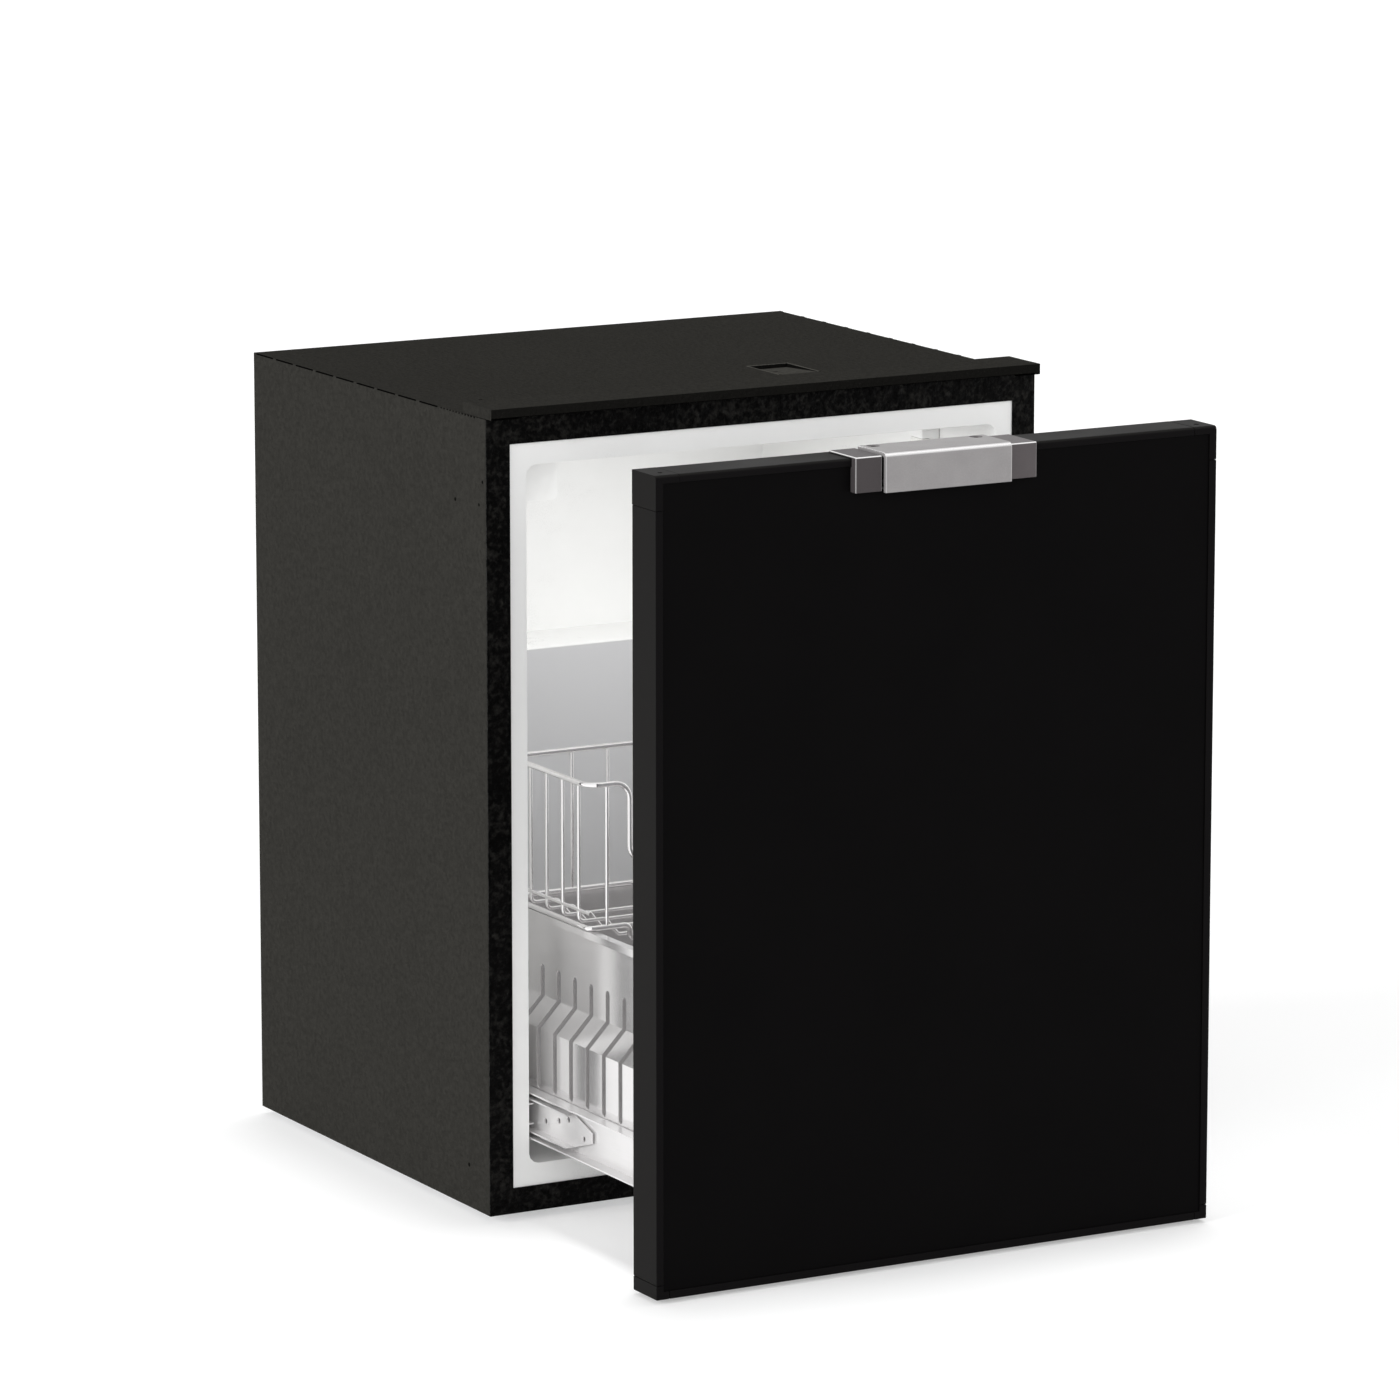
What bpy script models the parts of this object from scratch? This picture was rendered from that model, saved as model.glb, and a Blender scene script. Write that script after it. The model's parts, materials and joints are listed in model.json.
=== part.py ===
"""Drawer minibar: a cooled cabinet whose front pulls out on telescopic slides.

Sizes are in metres. x runs across the front, y from the front face to the back, and z up from the
underside of the cabinet. The pieces of the drawer are placed as in the closed drawer, and the
empty that carries them draws them out.
"""
import math

import bmesh
import bpy
from mathutils import Matrix, Vector

# Driving dimensions of the cabinet
CABINET_WIDTH = 0.4700
CABINET_HEIGHT = 0.6000
CABINET_DEPTH = 0.3875
FOOT_HEIGHT = 0.0060
FOOT_RADIUS = 0.0140
FOOT_INSET = 0.0350
SHEET = 0.0008
BASE_SHEET = 0.0012
FRAME_SHEET = 0.0012
FRAME_STRIP = 0.0195
FLANGE_SIDE = 0.0142
FLANGE_END = 0.0165
FLANGE_TUCK = 0.0100
LINER_WALL = 0.0020
LINER_CORNER = 0.0080
BACK_INSULATION = 0.0300
HUMP_DEPTH = 0.0955
HUMP_HEIGHT = 0.3650
BAY_INSULATION = 0.0280
GAP = 0.0003

# Slots along the two upper bends of the outer sheet
SLOT_COUNT = 9
SLOT_FRONT = 0.0730
SLOT_BRIDGE = 0.0045
SLOT_LEG = 0.0012
SLOT_END = 0.0040
STITCH_COUNT = 12
STITCH_LENGTH = 0.0022
STITCH_PITCH = 0.0048

# Top rail and the pocket pressed into the top
TOP_RAIL_HEIGHT = 0.0082
TOP_RAIL_OVERHANG = 0.0080
TOP_RAIL_DEPTH = 0.0450
TOP_RAIL_WALL = 0.0020
TOP_RAIL_END = 0.0225
TOP_RAIL_SLIT = 0.0010
POCKET_LEFT = 0.0620
POCKET_WIDTH = 0.0370
POCKET_FRONT = 0.0880
POCKET_LENGTH = 0.0520
POCKET_DEEP = 0.0032
POCKET_WALL = 0.0010
POCKET_SLOT_INSET = 0.0080
POCKET_SLOT_FRONT = 0.0240
POCKET_SLOT_WIDTH = 0.0070
POCKET_SLOT_LENGTH = 0.0020
TOP_HOLE_INSET = 0.0430
TOP_HOLE_Y = 0.0910
TOP_HOLE_RADIUS = 0.0020

# Telescopic slides
SLIDE_HEIGHT = 0.0725
SLIDE_HALF = 0.0179
RAIL_GAUGE = 0.0013
CAGE_GAUGE = 0.0006
RUN_GAP = 0.0004
BALL_RADIUS = 0.0015
BALL_PLAY = 0.00025
BALL_COUNT = 3
CABINET_RAIL_FRONT = 0.0080
CABINET_RAIL_ROOM = 0.0070
CABINET_RAIL_FLANGE = 0.0058
MIDDLE_RAIL_FRONT = 0.0236
MIDDLE_RAIL_ROOM = 0.0070
MIDDLE_RAIL_FLANGE = 0.0068
MIDDLE_NOSE = 0.0300
MIDDLE_NOSE_HALF = 0.0040
MIDDLE_HOLE_RADIUS = 0.0022
MIDDLE_HOLES = ((0.0120, -0.0030), (0.0360, 0.0065), (0.0510, 0.0023), (0.0720, -0.0025))
DRAWER_RAIL_FRONT = 0.0050
DRAWER_RAIL_ROOM = 0.0120
DRAWER_RAIL_FLANGE = 0.0098
CAGE_LENGTH = 0.0900
CAGE_LEDGE = 0.0055
INNER_CAGE_FRONT = 0.1000
OUTER_CAGE_FRONT = 0.1250
SCREW_HEAD_HEIGHT = 0.0018
SCREW_RADIUS = 0.0016
RAIL_SCREW_PLACES = (0.050, 0.145, 0.240)
RAIL_SCREW_LENGTH = 0.0120

# Drawer: travel, bin and basket
DRAWER_OPEN = 0.2073
BIN_SHEET = 0.0010
BIN_FLOOR = 0.0500
BIN_SHOULDER_LOW = 0.1370
BIN_SHOULDER_HIGH = 0.1550
BIN_TOP_ROOM = 0.0303
BIN_RIM_ROOM = 0.0243
BIN_RIM = 0.2200
BIN_HEM = 0.0055
BIN_BACK_ROOM = 0.0047
BIN_SLOT_COUNT = 11
BIN_SLOT_LAST = 0.0147
BIN_SLOT_FIRST = 0.0186
BIN_SLOT_WIDTH = 0.0060
BIN_SLOT_LOW = 0.0910
BIN_SLOT_HIGH = 0.1790
BASKET_ROOM = 0.0253
BASKET_FRONT = 0.1613
BASKET_BACK_ROOM = 0.0047
BASKET_HEIGHT = 0.1075
BASKET_RING_RADIUS = 0.0021
BASKET_WIRE_RADIUS = 0.0014
BASKET_DIP_INSET = 0.0345
BASKET_TOP_DIP = 0.0600
BASKET_LOW_DIP = 0.0110
BASKET_CORNER = 0.0280
BASKET_TURN = 0.0110
BASKET_WIRE_INSET = 0.0540
BASKET_POST_INSET = 0.0153
BASKET_HOOP_COUNT = 4
BASKET_HOOP_LAST = 0.0330
BASKET_HOOP_FIRST = 0.0180
BASKET_BACK_WIRES = 9
BASKET_FRONT_WIRES = 8

# Drawer front: the door
DOOR_SIDE_TRIM = 0.00095
DOOR_HEIGHT_TRIM = 0.0023
DOOR_DROP = 0.0028
DOOR_THICKNESS = 0.0349
DOOR_STANDOFF = 0.0120
DOOR_WALL = 0.0016
DOOR_LIP_SHEET = 0.0012
DOOR_FRONT_LIP = 0.0058
DOOR_BACK_LIP = 0.0080
DOOR_EDGE_ROUND = 0.0030
TOP_CAP_WIDTH = 0.0190
TOP_CAP_HEIGHT = 0.0250
BOTTOM_CAP_SIZE = 0.0105
CAP_HOLE_INSET_X = 0.0100
CAP_HOLE_INSET_Y = 0.0122
CAP_HOLE_RADIUS = 0.0019
PANEL_SHEET = 0.0020
PAN_SHEET = 0.0015
GASKET_INSET = 0.0017
GASKET_WIDTH = 0.0110
GASKET_GROOVE = 0.0030
BRACKET_SHEET = 0.0020
BRACKET_FLANGE = 0.0190
BRACKET_REACH = 0.0700
BRACKET_MARGIN = 0.0030

# Handle: housing, lever, rocker and their pin
HANDLE_HALF = 0.0525
HOUSING_DROP = 0.0242
HOUSING_WALL = 0.0020
HOUSING_SETBACK = 0.0015
LEVER_FRONT_REACH = 0.0098
LEVER_DROP = 0.0253
LEVER_SHEET = 0.0030
LEVER_ROUND = 0.0040
LEVER_BACK = 0.0050
LEVER_SWING_ROOM = 0.0029
END_CAP_GAP = 0.0013
END_CAP_WIDTH = 0.0217
END_CAP_REACH = 0.0063
END_CAP_TOP = 0.0012
END_CAP_DROP = 0.0244
END_CAP_BACK = 0.0027
PIVOT_DEPTH = 0.0140
PIVOT_DROP = 0.0174
PIN_RADIUS = 0.0020
BOSS_RADIUS = 0.0043
ROCKER_HALF = 0.0475
ROCKER_CHEEK = 0.0090
ROCKER_FRONT = 0.0190
ROCKER_BACK = 0.0075
ROCKER_DROP = 0.0097
FINGER_INNER = 0.0250
FINGER_WIDTH = 0.0100
FINGER_DROP = 0.0033
FINGER_TIP_ROOM = 0.0023
FINGER_SLOT_DEEP = 0.0159
FINGER_SLOT_SHALLOW = 0.0024
LEVER_SCREW_X = 0.0430
LEVER_SCREW_Y = 0.0105
LEVER_SCREW_HEAD = 0.0047
LEVER_SCREW_LENGTH = 0.0090
SPRING_WIRE = 0.00045
SPRING_RADIUS = 0.0034
SPRING_TURNS = 4
SPRING_WIDTH = 0.0100
SPRING_LEG = 0.0140

# Thermostat and lamp
STAT_WIDTH = 0.0780
STAT_HEIGHT = 0.0460
STAT_FRONT = 0.1000
STAT_DEPTH = 0.0900
STAT_WALL = 0.0020
STAT_CORNER = 0.0040
STAT_BODY = 0.0260
KNOB_RADIUS = 0.0140
KNOB_LENGTH = 0.0130
KNOB_FROM_WALL = 0.0230
KNOB_ABOVE_FLOOR = 0.0230
KNOB_GRIP = 0.0040
SHAFT_RADIUS = 0.0030
SHAFT_LENGTH = 0.0090
LAMP_FRONT = 0.0830
LAMP_LENGTH = 0.0180
LAMP_DEPTH = 0.0160
LAMP_HEIGHT = 0.0290
LAMP_DROP = 0.0150

# Cooling works behind and under the liner
PLATE_INSET = 0.0850
PLATE_ABOVE_HUMP = 0.0400
PLATE_TOP_ROOM = 0.0600
PLATE_SHEET = 0.0012
PLATE_MARGIN = 0.0100
PIPE_RADIUS = 0.0030
PIPE_STUB = 0.0150
PLATE_RUNS = 6
COIL_INSET = 0.0650
COIL_ABOVE_HUMP = 0.0150
COIL_TOP_ROOM = 0.0240
COIL_RUNS = 8
COIL_PIPE_RADIUS = 0.0024
COIL_STANDOFF = 0.0150
COIL_WIRES = 10
COIL_WIRE_RADIUS = 0.0008
BRACKET_X = 0.1200
BRACKET_WIDTH = 0.0100
COMPRESSOR_X = -0.0500
COMPRESSOR_RADIUS = 0.0500
COMPRESSOR_REACH = 0.0650
COMPRESSOR_HEIGHT = 0.1180
COMPRESSOR_BACK = 0.0385
FOOT_PLATE_HALF = 0.0880
FOOT_PLATE_SHEET = 0.0025
GROMMET_RADIUS = 0.0085
GROMMET_HEIGHT = 0.0130
TONGUE_INSET = 0.0750
TONGUE_REACH = 0.0420
CONTROL_LEFT = 0.1000
CONTROL_WIDTH = 0.1000
CONTROL_DEPTH = 0.0380
CONTROL_HEIGHT = 0.0900
GLAND_RADIUS = 0.0080
GLAND_LENGTH = 0.0150
DRIER_INSET = 0.0500
DRIER_RADIUS = 0.0080
DRIER_LENGTH = 0.1000
DRIER_LOW = 0.1600
COIL_MARGIN = 0.0150
DISCHARGE_HEIGHT = 0.0900

# Sizes that follow from the driving ones
HALF_WIDTH = CABINET_WIDTH / 2
INSIDE_HALF = HALF_WIDTH - SHEET - GAP
FLANGE_FRONT = FRAME_SHEET + GAP
FLANGE_BACK = FLANGE_FRONT + LINER_WALL
WRAP_FRONT = FRAME_SHEET + GAP
OPENING_HALF = HALF_WIDTH - FRAME_STRIP - FLANGE_SIDE
OPENING_LOW = FRAME_STRIP + FLANGE_END
OPENING_HIGH = CABINET_HEIGHT - OPENING_LOW
LINER_BACK = CABINET_DEPTH - BACK_INSULATION
HUMP_FRONT = CABINET_DEPTH - HUMP_DEPTH
BAY_FRONT = HUMP_FRONT + BAY_INSULATION
BAY_TOP = HUMP_HEIGHT - BAY_INSULATION
OVER = 0.0100
SLOT_PITCH = (CABINET_DEPTH - SLOT_END - SLOT_FRONT) / SLOT_COUNT
SLOT_LENGTH = SLOT_PITCH - SLOT_BRIDGE
TOP_HOLE_X = TOP_HOLE_INSET - HALF_WIDTH

# Depths of the slide members, measured inwards from the liner's side wall
CABINET_WEB = GAP
CABINET_TIP = CABINET_WEB + RAIL_GAUGE + CABINET_RAIL_FLANGE
INNER_CAGE_WEB = CABINET_TIP + RUN_GAP
MIDDLE_WEB = INNER_CAGE_WEB + CAGE_GAUGE + RUN_GAP
OUTER_CAGE_WEB = MIDDLE_WEB + RAIL_GAUGE + RUN_GAP
DRAWER_WEB = OUTER_CAGE_WEB + CAGE_GAUGE + RUN_GAP
SLIDE_DEPTH = DRAWER_WEB + RAIL_GAUGE
BALL_LANE = 2 * (BALL_RADIUS + BALL_PLAY)
MIDDLE_HALF = SLIDE_HALF - RAIL_GAUGE - BALL_LANE
CABINET_RAIL_HALF = MIDDLE_HALF - RAIL_GAUGE - BALL_LANE
CABINET_RAIL_LENGTH = HUMP_FRONT - CABINET_RAIL_ROOM - CABINET_RAIL_FRONT
MIDDLE_RAIL_LENGTH = HUMP_FRONT - MIDDLE_RAIL_ROOM - MIDDLE_RAIL_FRONT
DRAWER_RAIL_LENGTH = HUMP_FRONT - DRAWER_RAIL_ROOM - DRAWER_RAIL_FRONT

BIN_HALF = OPENING_HALF - SLIDE_DEPTH - GAP
BIN_TOP_HALF = OPENING_HALF - BIN_TOP_ROOM
BIN_RIM_HALF = OPENING_HALF - BIN_RIM_ROOM
BIN_BACK = HUMP_FRONT - BIN_BACK_ROOM
BIN_FRONT = -DOOR_STANDOFF + 2 * GAP + BRACKET_SHEET
BIN_SLOT_PITCH = (BIN_BACK - BIN_SLOT_FIRST - BIN_SLOT_LAST) / (BIN_SLOT_COUNT - 1)
BASKET_HALF = OPENING_HALF - BASKET_ROOM
BASKET_LOW = BIN_RIM + GAP + BASKET_RING_RADIUS
BASKET_TOP = BASKET_LOW + BASKET_HEIGHT
BASKET_BACK = HUMP_FRONT - BASKET_BACK_ROOM
BASKET_DIP_HALF = BASKET_HALF - BASKET_DIP_INSET
BASKET_POST = BASKET_HALF - BASKET_POST_INSET
BASKET_UPRIGHT_PITCH = 2 * (BASKET_HALF - BASKET_WIRE_INSET) / (BASKET_BACK_WIRES - 1)
BASKET_HOOP_RUN = BASKET_BACK - BASKET_FRONT - BASKET_HOOP_FIRST - BASKET_HOOP_LAST

DOOR_HALF = HALF_WIDTH - DOOR_SIDE_TRIM
DOOR_LOW = -DOOR_DROP
DOOR_HIGH = DOOR_LOW + CABINET_HEIGHT - DOOR_HEIGHT_TRIM
DOOR_BACK = -DOOR_STANDOFF
DOOR_FRONT = DOOR_BACK - DOOR_THICKNESS
PANEL_FRONT = DOOR_FRONT + DOOR_LIP_SHEET + GAP
PAN_FRONT = DOOR_BACK - PAN_SHEET
HOUSING_FRONT = DOOR_FRONT + HOUSING_SETBACK
HOUSING_BACK = PAN_FRONT - GAP
HOUSING_LOW = DOOR_HIGH - HOUSING_DROP
LEVER_TOP = DOOR_HIGH + GAP + LEVER_SHEET
LEVER_FRONT = DOOR_FRONT - LEVER_FRONT_REACH
LEVER_REAR = DOOR_BACK - LEVER_BACK
LEVER_LOW = DOOR_HIGH - LEVER_DROP
END_CAP_LOW = DOOR_HIGH - END_CAP_DROP
PIVOT_Y = DOOR_BACK - PIVOT_DEPTH
PIVOT_HEIGHT = DOOR_HIGH - PIVOT_DROP
PIVOT = (0.0, PIVOT_Y, PIVOT_HEIGHT)
ROCKER_LOW = DOOR_HIGH - ROCKER_DROP
FINGER_TOP = DOOR_HIGH - FINGER_DROP
FINGER_SLOT_LOW = DOOR_HIGH - FINGER_SLOT_DEEP
FINGER_SLOT_HIGH = DOOR_HIGH - FINGER_SLOT_SHALLOW
SWING_LOW = DOOR_HIGH - LEVER_SWING_ROOM

STAT_LEFT = -OPENING_HALF + GAP
STAT_TOP = OPENING_HIGH - GAP
LAMP_TOP = OPENING_HIGH - LAMP_DROP
KNOB_CENTRE = (STAT_LEFT + KNOB_FROM_WALL, STAT_FRONT, STAT_TOP - STAT_HEIGHT + KNOB_ABOVE_FLOOR)

COMPRESSOR_Y = CABINET_DEPTH + COMPRESSOR_BACK - COMPRESSOR_RADIUS
COIL_Y = CABINET_DEPTH + COIL_STANDOFF + COIL_PIPE_RADIUS
COIL_HALF = HALF_WIDTH - COIL_INSET
COIL_LOW = HUMP_HEIGHT + COIL_ABOVE_HUMP
COIL_HEIGHT = CABINET_HEIGHT - COIL_LOW - COIL_TOP_ROOM
PLATE_HALF = HALF_WIDTH - PLATE_INSET
PLATE_LOW = HUMP_HEIGHT + PLATE_ABOVE_HUMP
PLATE_HEIGHT = CABINET_HEIGHT - PLATE_LOW - PLATE_TOP_ROOM
PIPE_REACH = PLATE_HALF - PLATE_MARGIN
TONGUE_HALF = HALF_WIDTH - TONGUE_INSET
DRIER_X = DRIER_INSET - HALF_WIDTH
REAR = max(CABINET_DEPTH + TONGUE_REACH, COMPRESSOR_Y + COMPRESSOR_RADIUS)
ROOT_Y = -(REAR + LEVER_FRONT - DRAWER_OPEN) / 2


def start_clean():
    """Remove what the file holds and make the two collections."""
    for obj in list(bpy.data.objects):
        bpy.data.objects.remove(obj, do_unlink=True)
    for name in ("minibar", "cutters"):
        old = bpy.data.collections.get(name)
        if old:
            bpy.data.collections.remove(old)
        bpy.context.scene.collection.children.link(bpy.data.collections.new(name))


def material(name, colour, roughness, metallic=0.0):
    """A Principled material of one colour."""
    mat = bpy.data.materials.new(name)
    mat.use_nodes = True
    shader = mat.node_tree.nodes["Principled BSDF"]
    shader.inputs["Base Color"].default_value = (*colour, 1.0)
    shader.inputs["Roughness"].default_value = roughness
    shader.inputs["Metallic"].default_value = metallic
    mat.diffuse_color = (*colour, 1.0)
    return mat


def empty(name, location, parent=None):
    """A carrier for pieces that move together."""
    obj = bpy.data.objects.new(name, None)
    obj.location = location
    obj.parent = parent
    bpy.data.collections["minibar"].objects.link(obj)
    return obj


def carry(obj, parent, seat):
    """Put the object under a carrier that stands at the seat, with the shapes its Booleans use."""
    obj.parent = parent
    obj.location -= Vector(seat)
    for change in obj.modifiers:
        if change.type == "BOOLEAN":
            carry(change.object, parent, seat)


def keep(obj, parent, mat, seat=(0.0, 0.0, 0.0)):
    """Make the object a piece of the part, under its carrier."""
    carry(obj, parent, seat)
    obj.data.materials.clear()
    obj.data.materials.append(mat)
    return obj


def tool(obj):
    """Make the object a cutter, or a shape that is joined to another."""
    obj.hide_render = True
    obj.display_type = "WIRE"
    for collection in obj.users_collection:
        collection.objects.unlink(obj)
    bpy.data.collections["cutters"].objects.link(obj)
    return obj


def boolean(target, others, operation):
    """Add an exact Boolean to the target for each of the others."""
    for other in others:
        change = target.modifiers.new(other.name, "BOOLEAN")
        change.operation = operation
        change.object = tool(other)
        change.solver = "EXACT"


def cut(target, *others):
    """Cut the others out of the target."""
    boolean(target, others, "DIFFERENCE")


def fuse(target, *others):
    """Join the others to the target as one solid."""
    boolean(target, others, "UNION")


def linked(name, data):
    """A new object of the part."""
    obj = bpy.data.objects.new(name, data)
    bpy.data.collections["minibar"].objects.link(obj)
    return obj


def box(name, low, high):
    """A box from its low to its high corner, with its origin at its middle."""
    low, high = Vector(low), Vector(high)
    mesh = bpy.data.meshes.new(name)
    shape = bmesh.new()
    bmesh.ops.create_cube(shape, size=1.0)
    bmesh.ops.scale(shape, vec=high - low, verts=shape.verts)
    shape.to_mesh(mesh)
    shape.free()
    obj = linked(name, mesh)
    obj.location = (low + high) / 2
    return obj


def rod(name, start, end, radius, sides=16):
    """A round bar between two points."""
    start, end = Vector(start), Vector(end)
    mesh = bpy.data.meshes.new(name)
    shape = bmesh.new()
    bmesh.ops.create_cone(shape, cap_ends=True, segments=sides, radius1=radius, radius2=radius,
                          depth=(end - start).length)
    shape.to_mesh(mesh)
    shape.free()
    mesh.shade_smooth()
    mesh.set_sharp_from_angle(angle=math.radians(40))
    obj = linked(name, mesh)
    obj.location = (start + end) / 2
    obj.rotation_euler = (end - start).to_track_quat("Z", "Y").to_euler()
    return obj


def as_mesh(obj):
    """Turn a curve, or an object with modifiers, into one closed mesh object in the same place."""
    bpy.context.view_layer.update()
    graph = bpy.context.evaluated_depsgraph_get()
    mesh = bpy.data.meshes.new_from_object(obj.evaluated_get(graph))
    shape = bmesh.new()
    shape.from_mesh(mesh)
    bmesh.ops.remove_doubles(shape, verts=shape.verts, dist=0.000001)
    shape.to_mesh(mesh)
    shape.free()
    mesh.shade_smooth()
    mesh.set_sharp_from_angle(angle=math.radians(40))
    name, place = obj.name, obj.matrix_world.copy()
    bpy.data.objects.remove(obj, do_unlink=True)
    solid = linked(name, mesh)
    solid.matrix_world = place
    return solid


def slab(name, loops, low, high, along):
    """A flat outline with any holes, from low to high along an axis.

    A loop's points are (y, z) across x, (x, z) across y and (x, y) across z.
    """
    curve = bpy.data.curves.new(name, "CURVE")
    curve.dimensions = "2D"
    curve.fill_mode = "BOTH"
    curve.extrude = (high - low) / 2
    for loop in loops:
        spline = curve.splines.new("POLY")
        spline.points.add(len(loop) - 1)
        for point, place in zip(spline.points, loop):
            point.co = (place[0], place[1], 0.0, 1.0)
        spline.use_cyclic_u = True
    turns = {"X": ((0, 0, 1), (1, 0, 0), (0, 1, 0)),
             "Y": ((1, 0, 0), (0, 0, -1), (0, 1, 0)),
             "Z": ((1, 0, 0), (0, 1, 0), (0, 0, 1))}
    middle = Vector([(low + high) / 2 if axis == along else 0.0 for axis in "XYZ"])
    obj = linked(name, curve)
    obj.matrix_world = Matrix.Translation(middle) @ Matrix(turns[along]).to_4x4()
    return as_mesh(obj)


def rounded(points, radii, steps=3, closed=True):
    """The same path with its corners turned on arcs; radii is one size or one for each corner."""
    points = [Vector((*point, 0.0)) if len(point) == 2 else Vector(point) for point in points]
    if not isinstance(radii, (list, tuple)):
        radii = [radii] * len(points)
    path = []
    for index, (corner, radius) in enumerate(zip(points, radii)):
        ends = index in (0, len(points) - 1) and not closed
        if ends or radius == 0:
            path.append(corner)
            continue
        before = (points[index - 1] - corner).normalized()
        after = (points[(index + 1) % len(points)] - corner).normalized()
        half = before.angle(after) / 2
        centre = corner + (before + after).normalized() * (radius / math.sin(half))
        first = (corner + before * (radius / math.tan(half)) - centre).normalized()
        last = (corner + after * (radius / math.tan(half)) - centre).normalized()
        for step in range(steps + 1):
            path.append(centre + first.slerp(last, step / steps) * radius)
    return path


def rectangle(low, high, radius=0.0, steps=3):
    """A loop round a rectangle from its low to its high corner."""
    corners = [(low[0], low[1]), (high[0], low[1]), (high[0], high[1]), (low[0], high[1])]
    return rounded(corners, radius, steps) if radius else corners


def wire(name, points, radius, closed=False, resolution=1):
    """A wire or pipe along a path."""
    curve = bpy.data.curves.new(name, "CURVE")
    curve.dimensions = "3D"
    curve.bevel_depth = radius
    curve.bevel_resolution = resolution
    curve.use_fill_caps = True
    spline = curve.splines.new("POLY")
    spline.points.add(len(points) - 1)
    for point, place in zip(spline.points, points):
        point.co = (*place, 1.0)
    spline.use_cyclic_u = closed
    return as_mesh(linked(name, curve))


def turned(name, profile, base, axis="Z", steps=16):
    """A turned shape; its (radius, height) points run down its outer side from top to bottom."""
    mesh = bpy.data.meshes.new(name)
    edges = [(index, index + 1) for index in range(len(profile) - 1)]
    mesh.from_pydata([(radius, 0.0, height) for radius, height in profile], edges, [])
    obj = linked(name, mesh)
    screw = obj.modifiers.new("turn", "SCREW")
    screw.steps = steps
    screw.render_steps = steps
    screw.use_merge_vertices = True
    screw.merge_threshold = 0.000001
    directions = {"X": (1, 0, 0), "-X": (-1, 0, 0), "Y": (0, 1, 0), "-Y": (0, -1, 0),
                  "Z": (0, 0, 1), "-Z": (0, 0, -1)}
    obj.location = base
    obj.rotation_euler = Vector(directions[axis]).to_track_quat("Z", "Y").to_euler()
    return as_mesh(obj)


def group(name, objects):
    """Several solids in one object, each still a solid of its own."""
    bpy.context.view_layer.update()
    shape = bmesh.new()
    for obj in objects:
        mesh = obj.data.copy()
        mesh.transform(obj.matrix_world)
        shape.from_mesh(mesh)
        bpy.data.meshes.remove(mesh)
        bpy.data.objects.remove(obj, do_unlink=True)
    mesh = bpy.data.meshes.new(name)
    shape.to_mesh(mesh)
    shape.free()
    mesh.set_sharp_from_angle(angle=math.radians(40))
    return linked(name, mesh)


def screw_profile(head_radius, head_height, radius, length):
    """The turned profile of a screw that stands on its tip, head up."""
    top = length + head_height
    return [(0.0, top), (head_radius * 0.8, top), (head_radius, top - head_height * 0.4),
            (head_radius, length), (radius, length), (radius, 0.0), (0.0, 0.0)]


def weld(name, objects):
    """One solid made of several that overlap."""
    first, *others = objects
    first.name = name
    batch = bpy.data.collections.new(name + "_pieces")
    for other in others:
        batch.objects.link(other)
    change = first.modifiers.new("weld", "BOOLEAN")
    change.operation = "UNION"
    change.operand_type = "COLLECTION"
    change.collection = batch
    change.solver = "EXACT"
    solid = as_mesh(first)
    solid.name = name
    for other in others:
        bpy.data.objects.remove(other, do_unlink=True)
    bpy.data.collections.remove(batch)
    return solid


def make_outer_wrap(root, paint):
    """Sides and top in one folded sheet, with slots along the upper bends."""
    high, low = CABINET_HEIGHT, CABINET_HEIGHT - SHEET
    side, inner = HALF_WIDTH, HALF_WIDTH - SHEET
    loop = [(-side, 0.0), (-side, high), (side, high), (side, 0.0),
            (inner, 0.0), (inner, low), (-inner, low), (-inner, 0.0)]
    wrap = slab("outer_wrap", [loop], WRAP_FRONT, CABINET_DEPTH, "Y")
    slots = []
    back = CABINET_DEPTH - SLOT_END
    lengths = [(back - index * SLOT_PITCH, SLOT_LENGTH) for index in range(SLOT_COUNT)]
    lengths += [(SLOT_FRONT - index * STITCH_PITCH, STITCH_LENGTH) for index in range(STITCH_COUNT)]
    for hand in (-1, 1):
        near, far = sorted((hand * (side - SLOT_LEG), hand * (side + OVER)))
        for back, length in lengths:
            slots.append(box("slot", (near, back - length, high - SLOT_LEG), (far, back, high + OVER)))
    cut(wrap, group("bend_slots", slots),
        box("pocket_hole", (POCKET_LEFT, POCKET_FRONT, low - OVER),
            (POCKET_LEFT + POCKET_WIDTH, POCKET_FRONT + POCKET_LENGTH, high + OVER)),
        rod("top_hole", (TOP_HOLE_X, TOP_HOLE_Y, low - OVER), (TOP_HOLE_X, TOP_HOLE_Y, high + OVER),
            TOP_HOLE_RADIUS, 10))
    return keep(wrap, root, paint)


def make_front_frame(root, paint):
    """The black frame round the opening."""
    outer = rectangle((-HALF_WIDTH, 0.0), (HALF_WIDTH, CABINET_HEIGHT))
    inner = rectangle((-HALF_WIDTH + FRAME_STRIP, FRAME_STRIP),
                      (HALF_WIDTH - FRAME_STRIP, CABINET_HEIGHT - FRAME_STRIP))
    return keep(slab("front_frame", [outer, inner], 0.0, FRAME_SHEET, "Y"), root, paint)


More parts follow.
